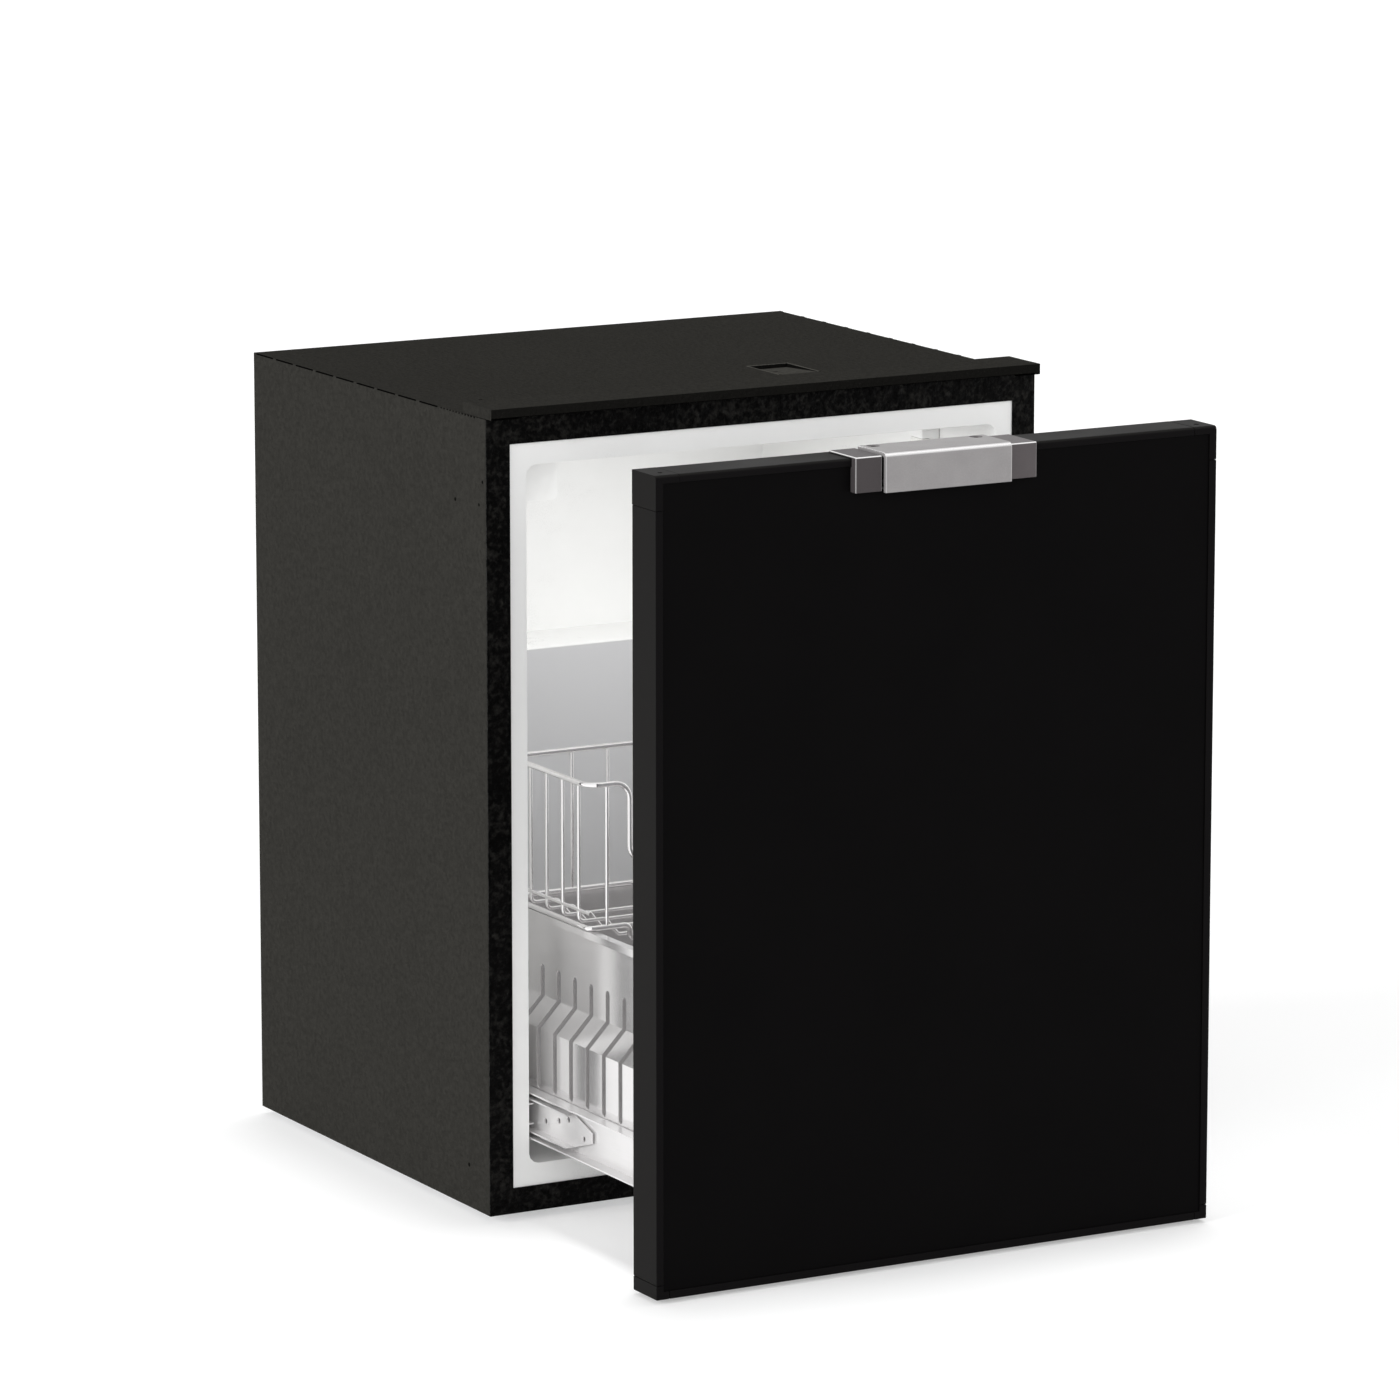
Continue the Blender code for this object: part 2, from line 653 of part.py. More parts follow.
def make_top_rail(root, paint):
    """The hollow rail on the top's front edge, open downwards between its solid ends."""
    low, high = CABINET_HEIGHT + GAP, CABINET_HEIGHT + GAP + TOP_RAIL_HEIGHT
    front, back = -TOP_RAIL_OVERHANG, TOP_RAIL_DEPTH - TOP_RAIL_OVERHANG
    rail = box("top_rail", (-HALF_WIDTH, front, low), (HALF_WIDTH, back, high))
    reach = HALF_WIDTH - TOP_RAIL_END
    cut(rail, box("rail_hollow", (-reach, front + TOP_RAIL_WALL, low - OVER),
                  (reach, back - TOP_RAIL_WALL, high - TOP_RAIL_WALL)),
        box("rail_slit", (-reach, front - OVER, low - OVER),
            (reach, front + 2 * TOP_RAIL_WALL, low + TOP_RAIL_SLIT)))
    return keep(rail, root, paint)


def make_top_pocket(root, paint):
    """The shallow pocket in the top, whose floor rises to the front, with a small slot."""
    left, right = POCKET_LEFT + GAP, POCKET_LEFT + POCKET_WIDTH - GAP
    front, back = POCKET_FRONT + GAP, POCKET_FRONT + POCKET_LENGTH - GAP
    high, floor = CABINET_HEIGHT, CABINET_HEIGHT - POCKET_DEEP
    pocket = box("top_pocket", (left, front, floor - POCKET_WALL), (right, back, high))
    inner_front, inner_back = front + POCKET_WALL, back - POCKET_WALL
    room = [(inner_front, high + OVER), (inner_front, high - GAP), (inner_back, floor),
            (inner_back, high + OVER)]
    slot_left = POCKET_LEFT + POCKET_SLOT_INSET
    slot_front = POCKET_FRONT + POCKET_SLOT_FRONT
    cut(pocket, slab("pocket_room", [room], left + POCKET_WALL, right - POCKET_WALL, "X"),
        box("pocket_slot", (slot_left, slot_front, floor),
            (slot_left + POCKET_SLOT_WIDTH, slot_front + POCKET_SLOT_LENGTH, high)))
    return keep(pocket, root, paint)


def make_base(root, zinc, rubber):
    """The base plate, with a tongue for the compressor, and the four foot pads."""
    tongue = CABINET_DEPTH + TONGUE_REACH
    loop = [(-INSIDE_HALF, WRAP_FRONT), (INSIDE_HALF, WRAP_FRONT), (INSIDE_HALF, CABINET_DEPTH),
            (TONGUE_HALF, CABINET_DEPTH), (TONGUE_HALF, tongue), (-TONGUE_HALF, tongue),
            (-TONGUE_HALF, CABINET_DEPTH), (-INSIDE_HALF, CABINET_DEPTH)]
    keep(slab("base_plate", [loop], 0.0, BASE_SHEET, "Z"), root, zinc)
    for side, x in (("left", FOOT_INSET - HALF_WIDTH), ("right", HALF_WIDTH - FOOT_INSET)):
        for end, y in (("front", FOOT_INSET), ("rear", CABINET_DEPTH - FOOT_INSET)):
            pad = rod(f"foot_{end}_{side}", (x, y, -FOOT_HEIGHT), (x, y, -GAP), FOOT_RADIUS, 20)
            keep(pad, root, rubber)


def evaporator_pipe_y():
    """Depth of the evaporator pipe's middle, where the pipe is sunk into the plate's back."""
    return LINER_BACK + LINER_WALL + GAP + PLATE_SHEET / 2 + PIPE_RADIUS


def pipe_holes():
    """Cutters where the evaporator's two ends pass down into the compressor bay."""
    y = evaporator_pipe_y()
    return [rod("pipe_hole", (x, y, BAY_TOP - OVER), (x, y, PLATE_LOW), PIPE_RADIUS + GAP, 12)
            for x in (-PIPE_REACH, PIPE_REACH)]


def make_back(root, zinc):
    """The back panel and the folded sheet that lines the compressor bay."""
    top = CABINET_HEIGHT - SHEET - GAP
    low = BAY_TOP + SHEET + GAP
    panel = box("back_panel", (-INSIDE_HALF, CABINET_DEPTH - SHEET, low),
                (INSIDE_HALF, CABINET_DEPTH, top))
    keep(panel, root, zinc)
    foot = BASE_SHEET + GAP
    loop = [(BAY_FRONT - SHEET, foot), (BAY_FRONT, foot), (BAY_FRONT, BAY_TOP),
            (CABINET_DEPTH, BAY_TOP), (CABINET_DEPTH, BAY_TOP + SHEET),
            (BAY_FRONT - SHEET, BAY_TOP + SHEET)]
    bay = slab("bay_sheet", [loop], -INSIDE_HALF, INSIDE_HALF, "X")
    cut(bay, *pipe_holes())
    keep(bay, root, zinc)


def opening_block(name, grow, front, back):
    """The space of the rounded opening, grown outwards, less the hump at its lower back."""
    loop = rectangle((-OPENING_HALF - grow, OPENING_LOW - grow), (OPENING_HALF + grow, OPENING_HIGH + grow),
                     LINER_CORNER + grow, 3)
    block = slab(name, [loop], front, back, "Y")
    cut(block, box(name + "_hump", (-HALF_WIDTH, HUMP_FRONT + grow, -OVER),
                   (HALF_WIDTH, CABINET_DEPTH + OVER, HUMP_HEIGHT - grow)))
    return block


def rail_screw_holes():
    """Cutters through the cabinet rails, the liner and the foam for the rails' screws."""
    holes = []
    for hand in (-1, 1):
        for y in RAIL_SCREW_PLACES:
            start = (hand * (OPENING_HALF - CABINET_TIP), y, SLIDE_HEIGHT)
            end = (hand * (OPENING_HALF + RAIL_SCREW_LENGTH), y, SLIDE_HEIGHT)
            holes.append(rod("hole", start, end, SCREW_RADIUS + GAP, 10))
    return group("rail_screw_holes", holes)


def make_liner(root, white):
    """The white inner tub with its hump and its front flange."""
    liner = opening_block("inner_liner", LINER_WALL, FLANGE_FRONT + LINER_WALL / 2,
                          LINER_BACK + LINER_WALL)
    edge = HALF_WIDTH - FLANGE_TUCK
    loop = rectangle((-edge, FLANGE_TUCK), (edge, CABINET_HEIGHT - FLANGE_TUCK))
    fuse(liner, slab("liner_flange", [loop], FLANGE_FRONT, FLANGE_BACK, "Y"))
    cut(liner, opening_block("liner_room", 0.0, -OVER, LINER_BACK), rail_screw_holes())
    return keep(liner, root, white)


def make_foam(root, foam_mat):
    """The insulation between the liner and the outer sheet."""
    foam = box("cabinet_foam", (-INSIDE_HALF, FLANGE_BACK + GAP, BASE_SHEET + GAP),
               (INSIDE_HALF, CABINET_DEPTH - SHEET - GAP, CABINET_HEIGHT - SHEET - GAP))
    shell = LINER_WALL + GAP
    back = evaporator_pipe_y() + PIPE_RADIUS + GAP
    cut(foam, opening_block("foam_room", shell, -OVER, LINER_BACK + shell),
        box("foam_bay", (-HALF_WIDTH, BAY_FRONT - SHEET - GAP, -OVER),
            (HALF_WIDTH, CABINET_DEPTH + OVER, BAY_TOP + SHEET + GAP)),
        box("foam_pocket", (POCKET_LEFT, POCKET_FRONT, CABINET_HEIGHT - POCKET_DEEP - POCKET_WALL - GAP),
            (POCKET_LEFT + POCKET_WIDTH, POCKET_FRONT + POCKET_LENGTH, CABINET_HEIGHT + OVER)),
        box("foam_plate", (-PLATE_HALF - GAP, LINER_BACK, PLATE_LOW - GAP),
            (PLATE_HALF + GAP, back, PLATE_LOW + PLATE_HEIGHT + GAP)),
        rail_screw_holes(), *pipe_holes())
    return keep(foam, root, foam_mat)


def make_evaporator(root, aluminium):
    """The cold plate behind the liner's back wall, with its pipe sunk into the back."""
    front = LINER_BACK + LINER_WALL + GAP
    plate = box("plate", (-PLATE_HALF, front, PLATE_LOW),
                (PLATE_HALF, front + PLATE_SHEET, PLATE_LOW + PLATE_HEIGHT))
    y = evaporator_pipe_y()
    pitch = 2 * PIPE_REACH / (PLATE_RUNS - 1)
    low, high = PLATE_LOW + PLATE_MARGIN, PLATE_LOW + PLATE_HEIGHT - PLATE_MARGIN
    path = []
    for run in range(PLATE_RUNS):
        x = -PIPE_REACH + run * pitch
        ends = (low, high) if run % 2 == 0 else (high, low)
        path += [(x, y, ends[0]), (x, y, ends[1])]
    path[0] = (-PIPE_REACH, y, BAY_TOP - PIPE_STUB)
    path[-1] = (PIPE_REACH, y, BAY_TOP - PIPE_STUB)
    pipe = wire("pipe", rounded(path, pitch * 0.4, 3, closed=False), PIPE_RADIUS)
    return keep(weld("evaporator", [plate, pipe]), root, aluminium)


def make_thermostat(root, carrier, white, white_knob, black):
    """The thermostat in the liner's upper left corner: housing, body and knob."""
    left, top = STAT_LEFT, STAT_TOP
    right, low = left + STAT_WIDTH, top - STAT_HEIGHT
    back = STAT_FRONT + STAT_DEPTH
    wall, corner = STAT_WALL, LINER_CORNER - GAP
    outline = rounded([(left, low), (right, low), (right, top), (left, top)], [0, STAT_CORNER, 0, corner])
    room = rounded([(left + wall, low + wall), (right - wall, low + wall),
                    (right - wall, top - wall), (left + wall, top - wall)],
                   [0, STAT_CORNER - wall, 0, corner - wall])
    housing = slab("thermostat_housing", [outline], STAT_FRONT, back, "Y")
    x, z = KNOB_CENTRE[0], KNOB_CENTRE[2]
    cut(housing, slab("housing_room", [room], STAT_FRONT + wall, back + OVER, "Y"),
        rod("shaft_hole", (x, STAT_FRONT - OVER, z), (x, STAT_FRONT + OVER, z), SHAFT_RADIUS + GAP, 16))
    keep(housing, root, white)
    inner = STAT_FRONT + wall + GAP
    body = box("body", (x - STAT_BODY / 2, inner, z - STAT_BODY / 2),
               (x + STAT_BODY / 2, inner + 1.5 * STAT_BODY, z + STAT_BODY / 2))
    shaft = rod("shaft", (x, STAT_FRONT - SHAFT_LENGTH, z), (x, inner + STAT_BODY / 2, z), SHAFT_RADIUS, 12)
    keep(weld("thermostat_body", [body, shaft]), root, black)
    bore = SHAFT_RADIUS + GAP
    profile = [(0.0, KNOB_LENGTH), (KNOB_RADIUS * 0.84, KNOB_LENGTH),
               (KNOB_RADIUS * 0.92, KNOB_LENGTH * 0.93), (KNOB_RADIUS, 0.0),
               (bore, 0.0), (bore, SHAFT_LENGTH), (0.0, SHAFT_LENGTH)]
    knob = turned("thermostat_knob", profile, (x, STAT_FRONT - GAP, z), "-Y", 24)
    face = STAT_FRONT - GAP - KNOB_LENGTH
    fuse(knob, box("grip", (x - KNOB_GRIP / 2, face - KNOB_GRIP, z - KNOB_RADIUS * 0.8),
                   (x + KNOB_GRIP / 2, face + KNOB_GRIP / 2, z + KNOB_RADIUS * 0.8)))
    return keep(knob, carrier, white_knob, KNOB_CENTRE)


def make_lamp(root, white, lens_mat):
    """The small lamp on the liner's right wall, with a notch that holds its lens."""
    right = OPENING_HALF - GAP
    low, high = LAMP_TOP - LAMP_HEIGHT, LAMP_TOP
    back = LAMP_FRONT + LAMP_LENGTH
    housing = box("lamp_housing", (right - LAMP_DEPTH, LAMP_FRONT, low), (right, back, high))
    edge = LAMP_HEIGHT / 4
    cut(housing, box("lens_notch", (right - LAMP_DEPTH - OVER, LAMP_FRONT - OVER, low + edge),
                     (right - LAMP_DEPTH / 2, back + OVER, high - edge)))
    keep(housing, root, white)
    lens = box("lamp_lens", (right - LAMP_DEPTH + GAP, LAMP_FRONT + GAP, low + edge + GAP),
               (right - LAMP_DEPTH / 2 - GAP, back - GAP, high - edge - GAP))
    return keep(lens, root, lens_mat)


def channel(name, hand, web, tip, half, gauge, front, length):
    """A folded strip of a slide; web and tip are depths from the liner's side wall."""
    far, near = (web, web + gauge) if tip > web else (web + gauge, web)
    path = [(far, -half), (tip, -half), (tip, gauge - half), (near, gauge - half),
            (near, half - gauge), (tip, half - gauge), (tip, half), (far, half)]
    corners = [gauge * 0.8, 0, 0, 0, 0, 0, 0, gauge * 0.8]
    loop = [(hand * (OPENING_HALF - point[0]), SLIDE_HEIGHT + point[1])
            for point in rounded(path, corners, 2)]
    return slab(name, [loop], front, front + length, "Y")


def make_slide(hand, side, root, middle, inner, outer, drawer, steel):
    """One telescopic slide: three rails and two cages of balls between them."""
    cabinet_rail = channel(f"cabinet_rail_{side}", hand, CABINET_WEB, CABINET_TIP, CABINET_RAIL_HALF,
                           RAIL_GAUGE, CABINET_RAIL_FRONT, CABINET_RAIL_LENGTH)
    cut(cabinet_rail, rail_screw_holes())
    keep(cabinet_rail, root, steel)
    rail = channel(f"middle_rail_{side}", hand, MIDDLE_WEB, MIDDLE_WEB - MIDDLE_RAIL_FLANGE, MIDDLE_HALF,
                   RAIL_GAUGE, MIDDLE_RAIL_FRONT, MIDDLE_RAIL_LENGTH)
    near, far = sorted((hand * (OPENING_HALF - MIDDLE_WEB - OVER), hand * OPENING_HALF))
    front, reach = MIDDLE_RAIL_FRONT, MIDDLE_RAIL_FRONT + MIDDLE_NOSE
    for way in (-1, 1):
        wedge = [(front - OVER, MIDDLE_NOSE_HALF), (front, MIDDLE_NOSE_HALF), (reach, MIDDLE_HALF + GAP),
                 (reach, MIDDLE_HALF + OVER), (front - OVER, MIDDLE_HALF + OVER)]
        cut(rail, slab("nose", [[(y, SLIDE_HEIGHT + way * z) for y, z in wedge]], near, far, "X"))
    for along, height in MIDDLE_HOLES:
        place = (front + along, SLIDE_HEIGHT + height)
        cut(rail, rod("hole", (near, *place), (far, *place), MIDDLE_HOLE_RADIUS, 10))
    keep(rail, middle, steel)
    make_cage(f"inner_ball_cage_{side}", hand, INNER_CAGE_WEB, CABINET_RAIL_HALF, INNER_CAGE_FRONT,
              inner, steel)
    make_cage(f"outer_ball_cage_{side}", hand, OUTER_CAGE_WEB, MIDDLE_HALF, OUTER_CAGE_FRONT,
              outer, steel)
    drawer_rail = channel(f"drawer_rail_{side}", hand, DRAWER_WEB, DRAWER_WEB - DRAWER_RAIL_FLANGE,
                          SLIDE_HALF, RAIL_GAUGE, DRAWER_RAIL_FRONT, DRAWER_RAIL_LENGTH)
    keep(drawer_rail, drawer, steel)


def make_cage(name, hand, web, rail_half, front, carrier, steel):
    """A cage whose ledges lie in the lanes above and below a rail, with its balls."""
    lane = rail_half + BALL_LANE / 2
    cage = channel(name, hand, web, web - CAGE_LEDGE, lane + CAGE_GAUGE / 2, CAGE_GAUGE, front, CAGE_LENGTH)
    x = hand * (OPENING_HALF - web + CAGE_LEDGE - BALL_RADIUS - CAGE_GAUGE)
    balls = []
    for way in (-1, 1):
        for index in range(BALL_COUNT):
            y = front + (index + 0.5) * CAGE_LENGTH / BALL_COUNT
            balls.append(ball("ball", (x, y, SLIDE_HEIGHT + way * lane), BALL_RADIUS))
    keep(weld(name, [cage, *balls]), carrier, steel)


def ball(name, place, radius):
    """A round ball."""
    mesh = bpy.data.meshes.new(name)
    shape = bmesh.new()
    bmesh.ops.create_uvsphere(shape, u_segments=8, v_segments=4, radius=radius)
    shape.to_mesh(mesh)
    shape.free()
    mesh.shade_smooth()
    obj = linked(name, mesh)
    obj.location = place
    return obj


def mirrored(right):
    """A closed loop from its right half, which runs from the bottom to the top."""
    return right + [(-x, z) for x, z in reversed(right)]


def make_bin(drawer, steel):
    """The steel bin with shoulders, hemmed rims and a row of slots down each side."""
    top, rim, sheet = BIN_TOP_HALF, BIN_RIM_HALF, BIN_SHEET
    outer = mirrored([(BIN_HALF, BIN_FLOOR), (BIN_HALF, BIN_SHOULDER_LOW), (top, BIN_SHOULDER_HIGH),
                      (top, BIN_RIM - sheet), (rim - sheet, BIN_RIM - sheet),
                      (rim - sheet, BIN_RIM - BIN_HEM), (rim, BIN_RIM - BIN_HEM), (rim, BIN_RIM)])
    drop = sheet * 0.4
    room = mirrored([(BIN_HALF - sheet, BIN_FLOOR + sheet), (BIN_HALF - sheet, BIN_SHOULDER_LOW - drop),
                     (top - sheet, BIN_SHOULDER_HIGH - drop), (top - sheet, BIN_RIM + OVER)])
    pan = slab("bin", [outer], BIN_FRONT, BIN_BACK, "Y")
    slots = []
    for index in range(BIN_SLOT_COUNT):
        y = BIN_BACK - BIN_SLOT_FIRST - index * BIN_SLOT_PITCH
        half = BIN_SLOT_WIDTH / 2
        slots.append(rectangle((y - half, BIN_SLOT_LOW), (y + half, BIN_SLOT_HIGH), half * 0.99, 2))
    cut(pan, slab("bin_room", [room], BIN_FRONT + sheet, BIN_BACK - sheet, "Y"),
        slab("bin_slots", slots, -HALF_WIDTH, HALF_WIDTH, "X"))
    return keep(pan, drawer, steel)


def make_basket(drawer, steel):
    """The wire basket that stands on the bin's rim."""
    low, top, half = BASKET_LOW, BASKET_TOP, BASKET_HALF
    front, back, dip = BASKET_FRONT, BASKET_BACK, BASKET_DIP_HALF
    sunk, floor = top - BASKET_TOP_DIP, low - BASKET_LOW_DIP
    wires = []
    for name, z, down, arc in (("top", top, sunk, BASKET_TURN), ("low", low, floor, BASKET_LOW_DIP * 0.4)):
        path = [(-dip, front, z), (-half, front, z), (-half, back, z), (half, back, z), (half, front, z),
                (dip, front, z), (dip, front, down), (-dip, front, down)]
        radii = [arc, BASKET_TURN, BASKET_CORNER, BASKET_CORNER, BASKET_TURN, arc, arc, arc]
        wires.append(wire(name, rounded(path, radii, 3), BASKET_RING_RADIUS, closed=True))
    thin = BASKET_WIRE_RADIUS
    wall = half - BASKET_RING_RADIUS + thin / 2
    step = low + BASKET_RING_RADIUS
    for index in range(BASKET_HOOP_COUNT):
        y = front + BASKET_HOOP_FIRST + index * BASKET_HOOP_RUN / (BASKET_HOOP_COUNT - 1)
        path = [(-wall, y, top), (-wall, y, step), (-dip - BASKET_LOW_DIP, y, step), (-dip, y, floor),
                (dip, y, floor), (dip + BASKET_LOW_DIP, y, step), (wall, y, step), (wall, y, top)]
        wires.append(wire("hoop", rounded(path, BASKET_LOW_DIP * 0.4, 2, closed=False), thin))
    for index in range(BASKET_BACK_WIRES):
        x = (index - (BASKET_BACK_WIRES - 1) / 2) * BASKET_UPRIGHT_PITCH
        wires.append(wire("upright", [(x, back, low), (x, back, top)], thin))
    for index in range(BASKET_FRONT_WIRES):
        x = (index - (BASKET_FRONT_WIRES - 1) / 2) * BASKET_UPRIGHT_PITCH
        wires.append(wire("upright", [(x, front, floor), (x, front, sunk)], thin))
    for x in (-BASKET_POST, BASKET_POST):
        wires.append(wire("upright", [(x, front, low), (x, front, top)], thin))
    for x in (-dip / 2, dip / 2):
        path = [(x, front, floor), (x, back - 2 * BASKET_LOW_DIP, floor), (x, back - BASKET_LOW_DIP, low),
                (x, back, low)]
        wires.append(wire("runner", rounded(path, BASKET_LOW_DIP * 0.4, 2, closed=False), thin))
    for x in (-wall, wall):
        z = low + BASKET_LOW_DIP
        wires.append(wire("side", [(x, front, z), (x, back - BASKET_CORNER, z)], thin))
    return keep(weld("wire_basket", wires), drawer, steel)


def door_hollow():
    """Cutter for what the hollow frame of the door leaves open."""
    name = "door_hollow"
    wall, lip = DOOR_WALL, DOOR_LIP_SHEET
    inside = box("inside", (-DOOR_HALF + wall, DOOR_FRONT + lip, DOOR_LOW + wall),
                 (DOOR_HALF - wall, DOOR_BACK - lip, DOOR_HIGH - wall))
    window, back_window = DOOR_FRONT_LIP, DOOR_BACK_LIP
    middle = (DOOR_FRONT + DOOR_BACK) / 2
    view = box("view", (-DOOR_HALF + window, DOOR_FRONT - OVER, DOOR_LOW + window),
               (DOOR_HALF - window, middle, DOOR_HIGH - window))
    rear = box("rear", (-DOOR_HALF + back_window, middle, DOOR_LOW + back_window),
               (DOOR_HALF - back_window, DOOR_BACK + OVER, DOOR_HIGH - back_window))
    return weld(name, [inside, view, rear])


def handle_pocket(front, back):
    """Cutter that lets the handle's housing into the door."""
    half = HANDLE_HALF + GAP
    return box("handle_pocket", (-half, front, HOUSING_LOW - GAP), (half, back, DOOR_HIGH + OVER))


def finger_slots():
    """Cutter for the two push fingers' slots."""
    slots = []
    inner, outer = FINGER_INNER - 2 * GAP, FINGER_INNER + FINGER_WIDTH + 2 * GAP
    for hand in (-1, 1):
        near, far = sorted((hand * inner, hand * outer))
        slots.append(box("slot", (near, HOUSING_BACK - HOUSING_WALL - OVER / 2, FINGER_SLOT_LOW),
                         (far, DOOR_BACK + OVER, FINGER_SLOT_HIGH)))
    return group("finger_slots", slots)


def rail_outline(low, high):
    """The upper door rail across x, with its top front edge rounded."""
    corners = [(DOOR_FRONT, low), (DOOR_BACK, low), (DOOR_BACK, high), (DOOR_FRONT, high)]
    return rounded(corners, [0, 0, 0, DOOR_EDGE_ROUND], 3)


def make_door_frame(drawer, side_paint):
    """The hollow frame of the door: two stiles, two rails and four corner caps."""
    strip = DOOR_BACK_LIP + 2 * DOOR_WALL
    for hand, side in ((-1, "left"), (1, "right")):
        near, far = sorted((hand * (DOOR_HALF - strip), hand * DOOR_HALF))
        stile = box(f"door_stile_{side}", (near, DOOR_FRONT, DOOR_LOW + BOTTOM_CAP_SIZE + GAP),
                    (far, DOOR_BACK, DOOR_HIGH - TOP_CAP_HEIGHT - GAP))
        cut(stile, door_hollow())
        keep(stile, drawer, side_paint)
        near, far = sorted((hand * (DOOR_HALF - TOP_CAP_WIDTH), hand * DOOR_HALF))
        cap = slab(f"door_top_cap_{side}", [rail_outline(DOOR_HIGH - TOP_CAP_HEIGHT, DOOR_HIGH)],
                   near, far, "X")
        x, y = hand * (DOOR_HALF - CAP_HOLE_INSET_X), DOOR_FRONT + CAP_HOLE_INSET_Y
        cut(cap, door_hollow(), rod("cap_hole", (x, y, DOOR_HIGH - OVER), (x, y, DOOR_HIGH + OVER),
                                    CAP_HOLE_RADIUS, 10))
        keep(cap, drawer, side_paint)
        near, far = sorted((hand * (DOOR_HALF - BOTTOM_CAP_SIZE), hand * DOOR_HALF))
        foot = box(f"door_bottom_cap_{side}", (near, DOOR_FRONT, DOOR_LOW),
                   (far, DOOR_BACK, DOOR_LOW + BOTTOM_CAP_SIZE))
        cut(foot, door_hollow())
        keep(foot, drawer, side_paint)
    reach = DOOR_HALF - TOP_CAP_WIDTH - GAP
    top = slab("door_top_rail", [rail_outline(DOOR_HIGH - strip, DOOR_HIGH)], -reach, reach, "X")
    cut(top, door_hollow(), handle_pocket(DOOR_FRONT - OVER, HOUSING_BACK + GAP), finger_slots())
    keep(top, drawer, side_paint)
    reach = DOOR_HALF - BOTTOM_CAP_SIZE - GAP
    bottom = box("door_bottom_rail", (-reach, DOOR_FRONT, DOOR_LOW), (reach, DOOR_BACK, DOOR_LOW + strip))
    cut(bottom, door_hollow())
    keep(bottom, drawer, side_paint)


def make_door_filling(drawer, paint, foam_mat, grey, gasket_mat):
    """The door's front panel, insulation, inner pan and magnetic seal."""
    inset = DOOR_WALL + GAP
    half, low, high = DOOR_HALF - inset, DOOR_LOW + inset, DOOR_HIGH - inset
    panel_back = PANEL_FRONT + PANEL_SHEET
    panel = box("front_panel", (-half, PANEL_FRONT, low), (half, panel_back, high))
    cut(panel, handle_pocket(PANEL_FRONT - OVER, panel_back + OVER))
    keep(panel, drawer, paint)
    foam = box("door_foam", (-half, panel_back + GAP, low), (half, PAN_FRONT - GAP, high))
    cut(foam, handle_pocket(panel_back, PAN_FRONT + OVER))
    keep(foam, drawer, foam_mat)
    inset = DOOR_BACK_LIP + GAP
    pan = box("door_inner_pan", (-DOOR_HALF + inset, PAN_FRONT, DOOR_LOW + inset),
              (DOOR_HALF - inset, DOOR_BACK, DOOR_HIGH - inset))
    cut(pan, finger_slots())
    keep(pan, drawer, grey)
    loops = []
    for grow in (GASKET_INSET + GASKET_WIDTH, GASKET_INSET):
        loops.append(rectangle((-OPENING_HALF - grow, OPENING_LOW - grow),
                               (OPENING_HALF + grow, OPENING_HIGH + grow), LINER_CORNER, 3))
    gasket = slab("door_gasket", loops, DOOR_BACK + GAP, FLANGE_FRONT - GAP, "Y")
    bellows = []
    for grow in (GASKET_INSET + GASKET_WIDTH + OVER, GASKET_INSET + GASKET_WIDTH - GASKET_GROOVE):
        bellows.append(rectangle((-OPENING_HALF - grow, OPENING_LOW - grow),
                                 (OPENING_HALF + grow, OPENING_HIGH + grow), LINER_CORNER, 3))
    middle = (DOOR_BACK + FLANGE_FRONT) / 2
    cut(gasket, slab("bellows", bellows, middle - GASKET_GROOVE / 2, middle + GASKET_GROOVE / 2, "Y"))
    keep(gasket, drawer, gasket_mat)


def make_brackets(drawer, zinc):
    """The two angles that carry the door on the bin's upper walls."""
    near, sheet = BIN_TOP_HALF + GAP, BRACKET_SHEET
    front = DOOR_BACK + GAP
    low, high = BIN_SHOULDER_HIGH + BRACKET_MARGIN, BIN_RIM - BIN_HEM - BRACKET_MARGIN / 2
    for hand, side in ((-1, "left"), (1, "right")):
        loop = [(near, front), (near + BRACKET_FLANGE, front), (near + BRACKET_FLANGE, front + sheet),
                (near + sheet, front + sheet), (near + sheet, front + BRACKET_REACH),
                (near, front + BRACKET_REACH)]
        bracket = slab(f"door_bracket_{side}", [[(hand * x, y) for x, y in loop]], low, high, "Z")
        keep(bracket, drawer, zinc)


def make_housing(drawer, black):
    """The cup in the door's upper edge that holds the lever."""
    half, wall = HANDLE_HALF, HOUSING_WALL
    high = DOOR_HIGH - GAP
    cup = box("handle_housing", (-half, HOUSING_FRONT, HOUSING_LOW), (half, HOUSING_BACK, high))
    cut(cup, box("cup_room", (wall - half, HOUSING_FRONT - OVER, HOUSING_LOW + wall),
                 (half - wall, HOUSING_BACK - wall, high + OVER)),
        box("swing_room", (-half - OVER, PIVOT_Y + GAP, SWING_LOW),
            (half + OVER, HOUSING_BACK + OVER, high + OVER)),
        rod("pin_hole", (-half - OVER, PIVOT_Y, PIVOT_HEIGHT), (half + OVER, PIVOT_Y, PIVOT_HEIGHT),
            PIN_RADIUS + GAP, 16), finger_slots())
    return keep(cup, drawer, black)


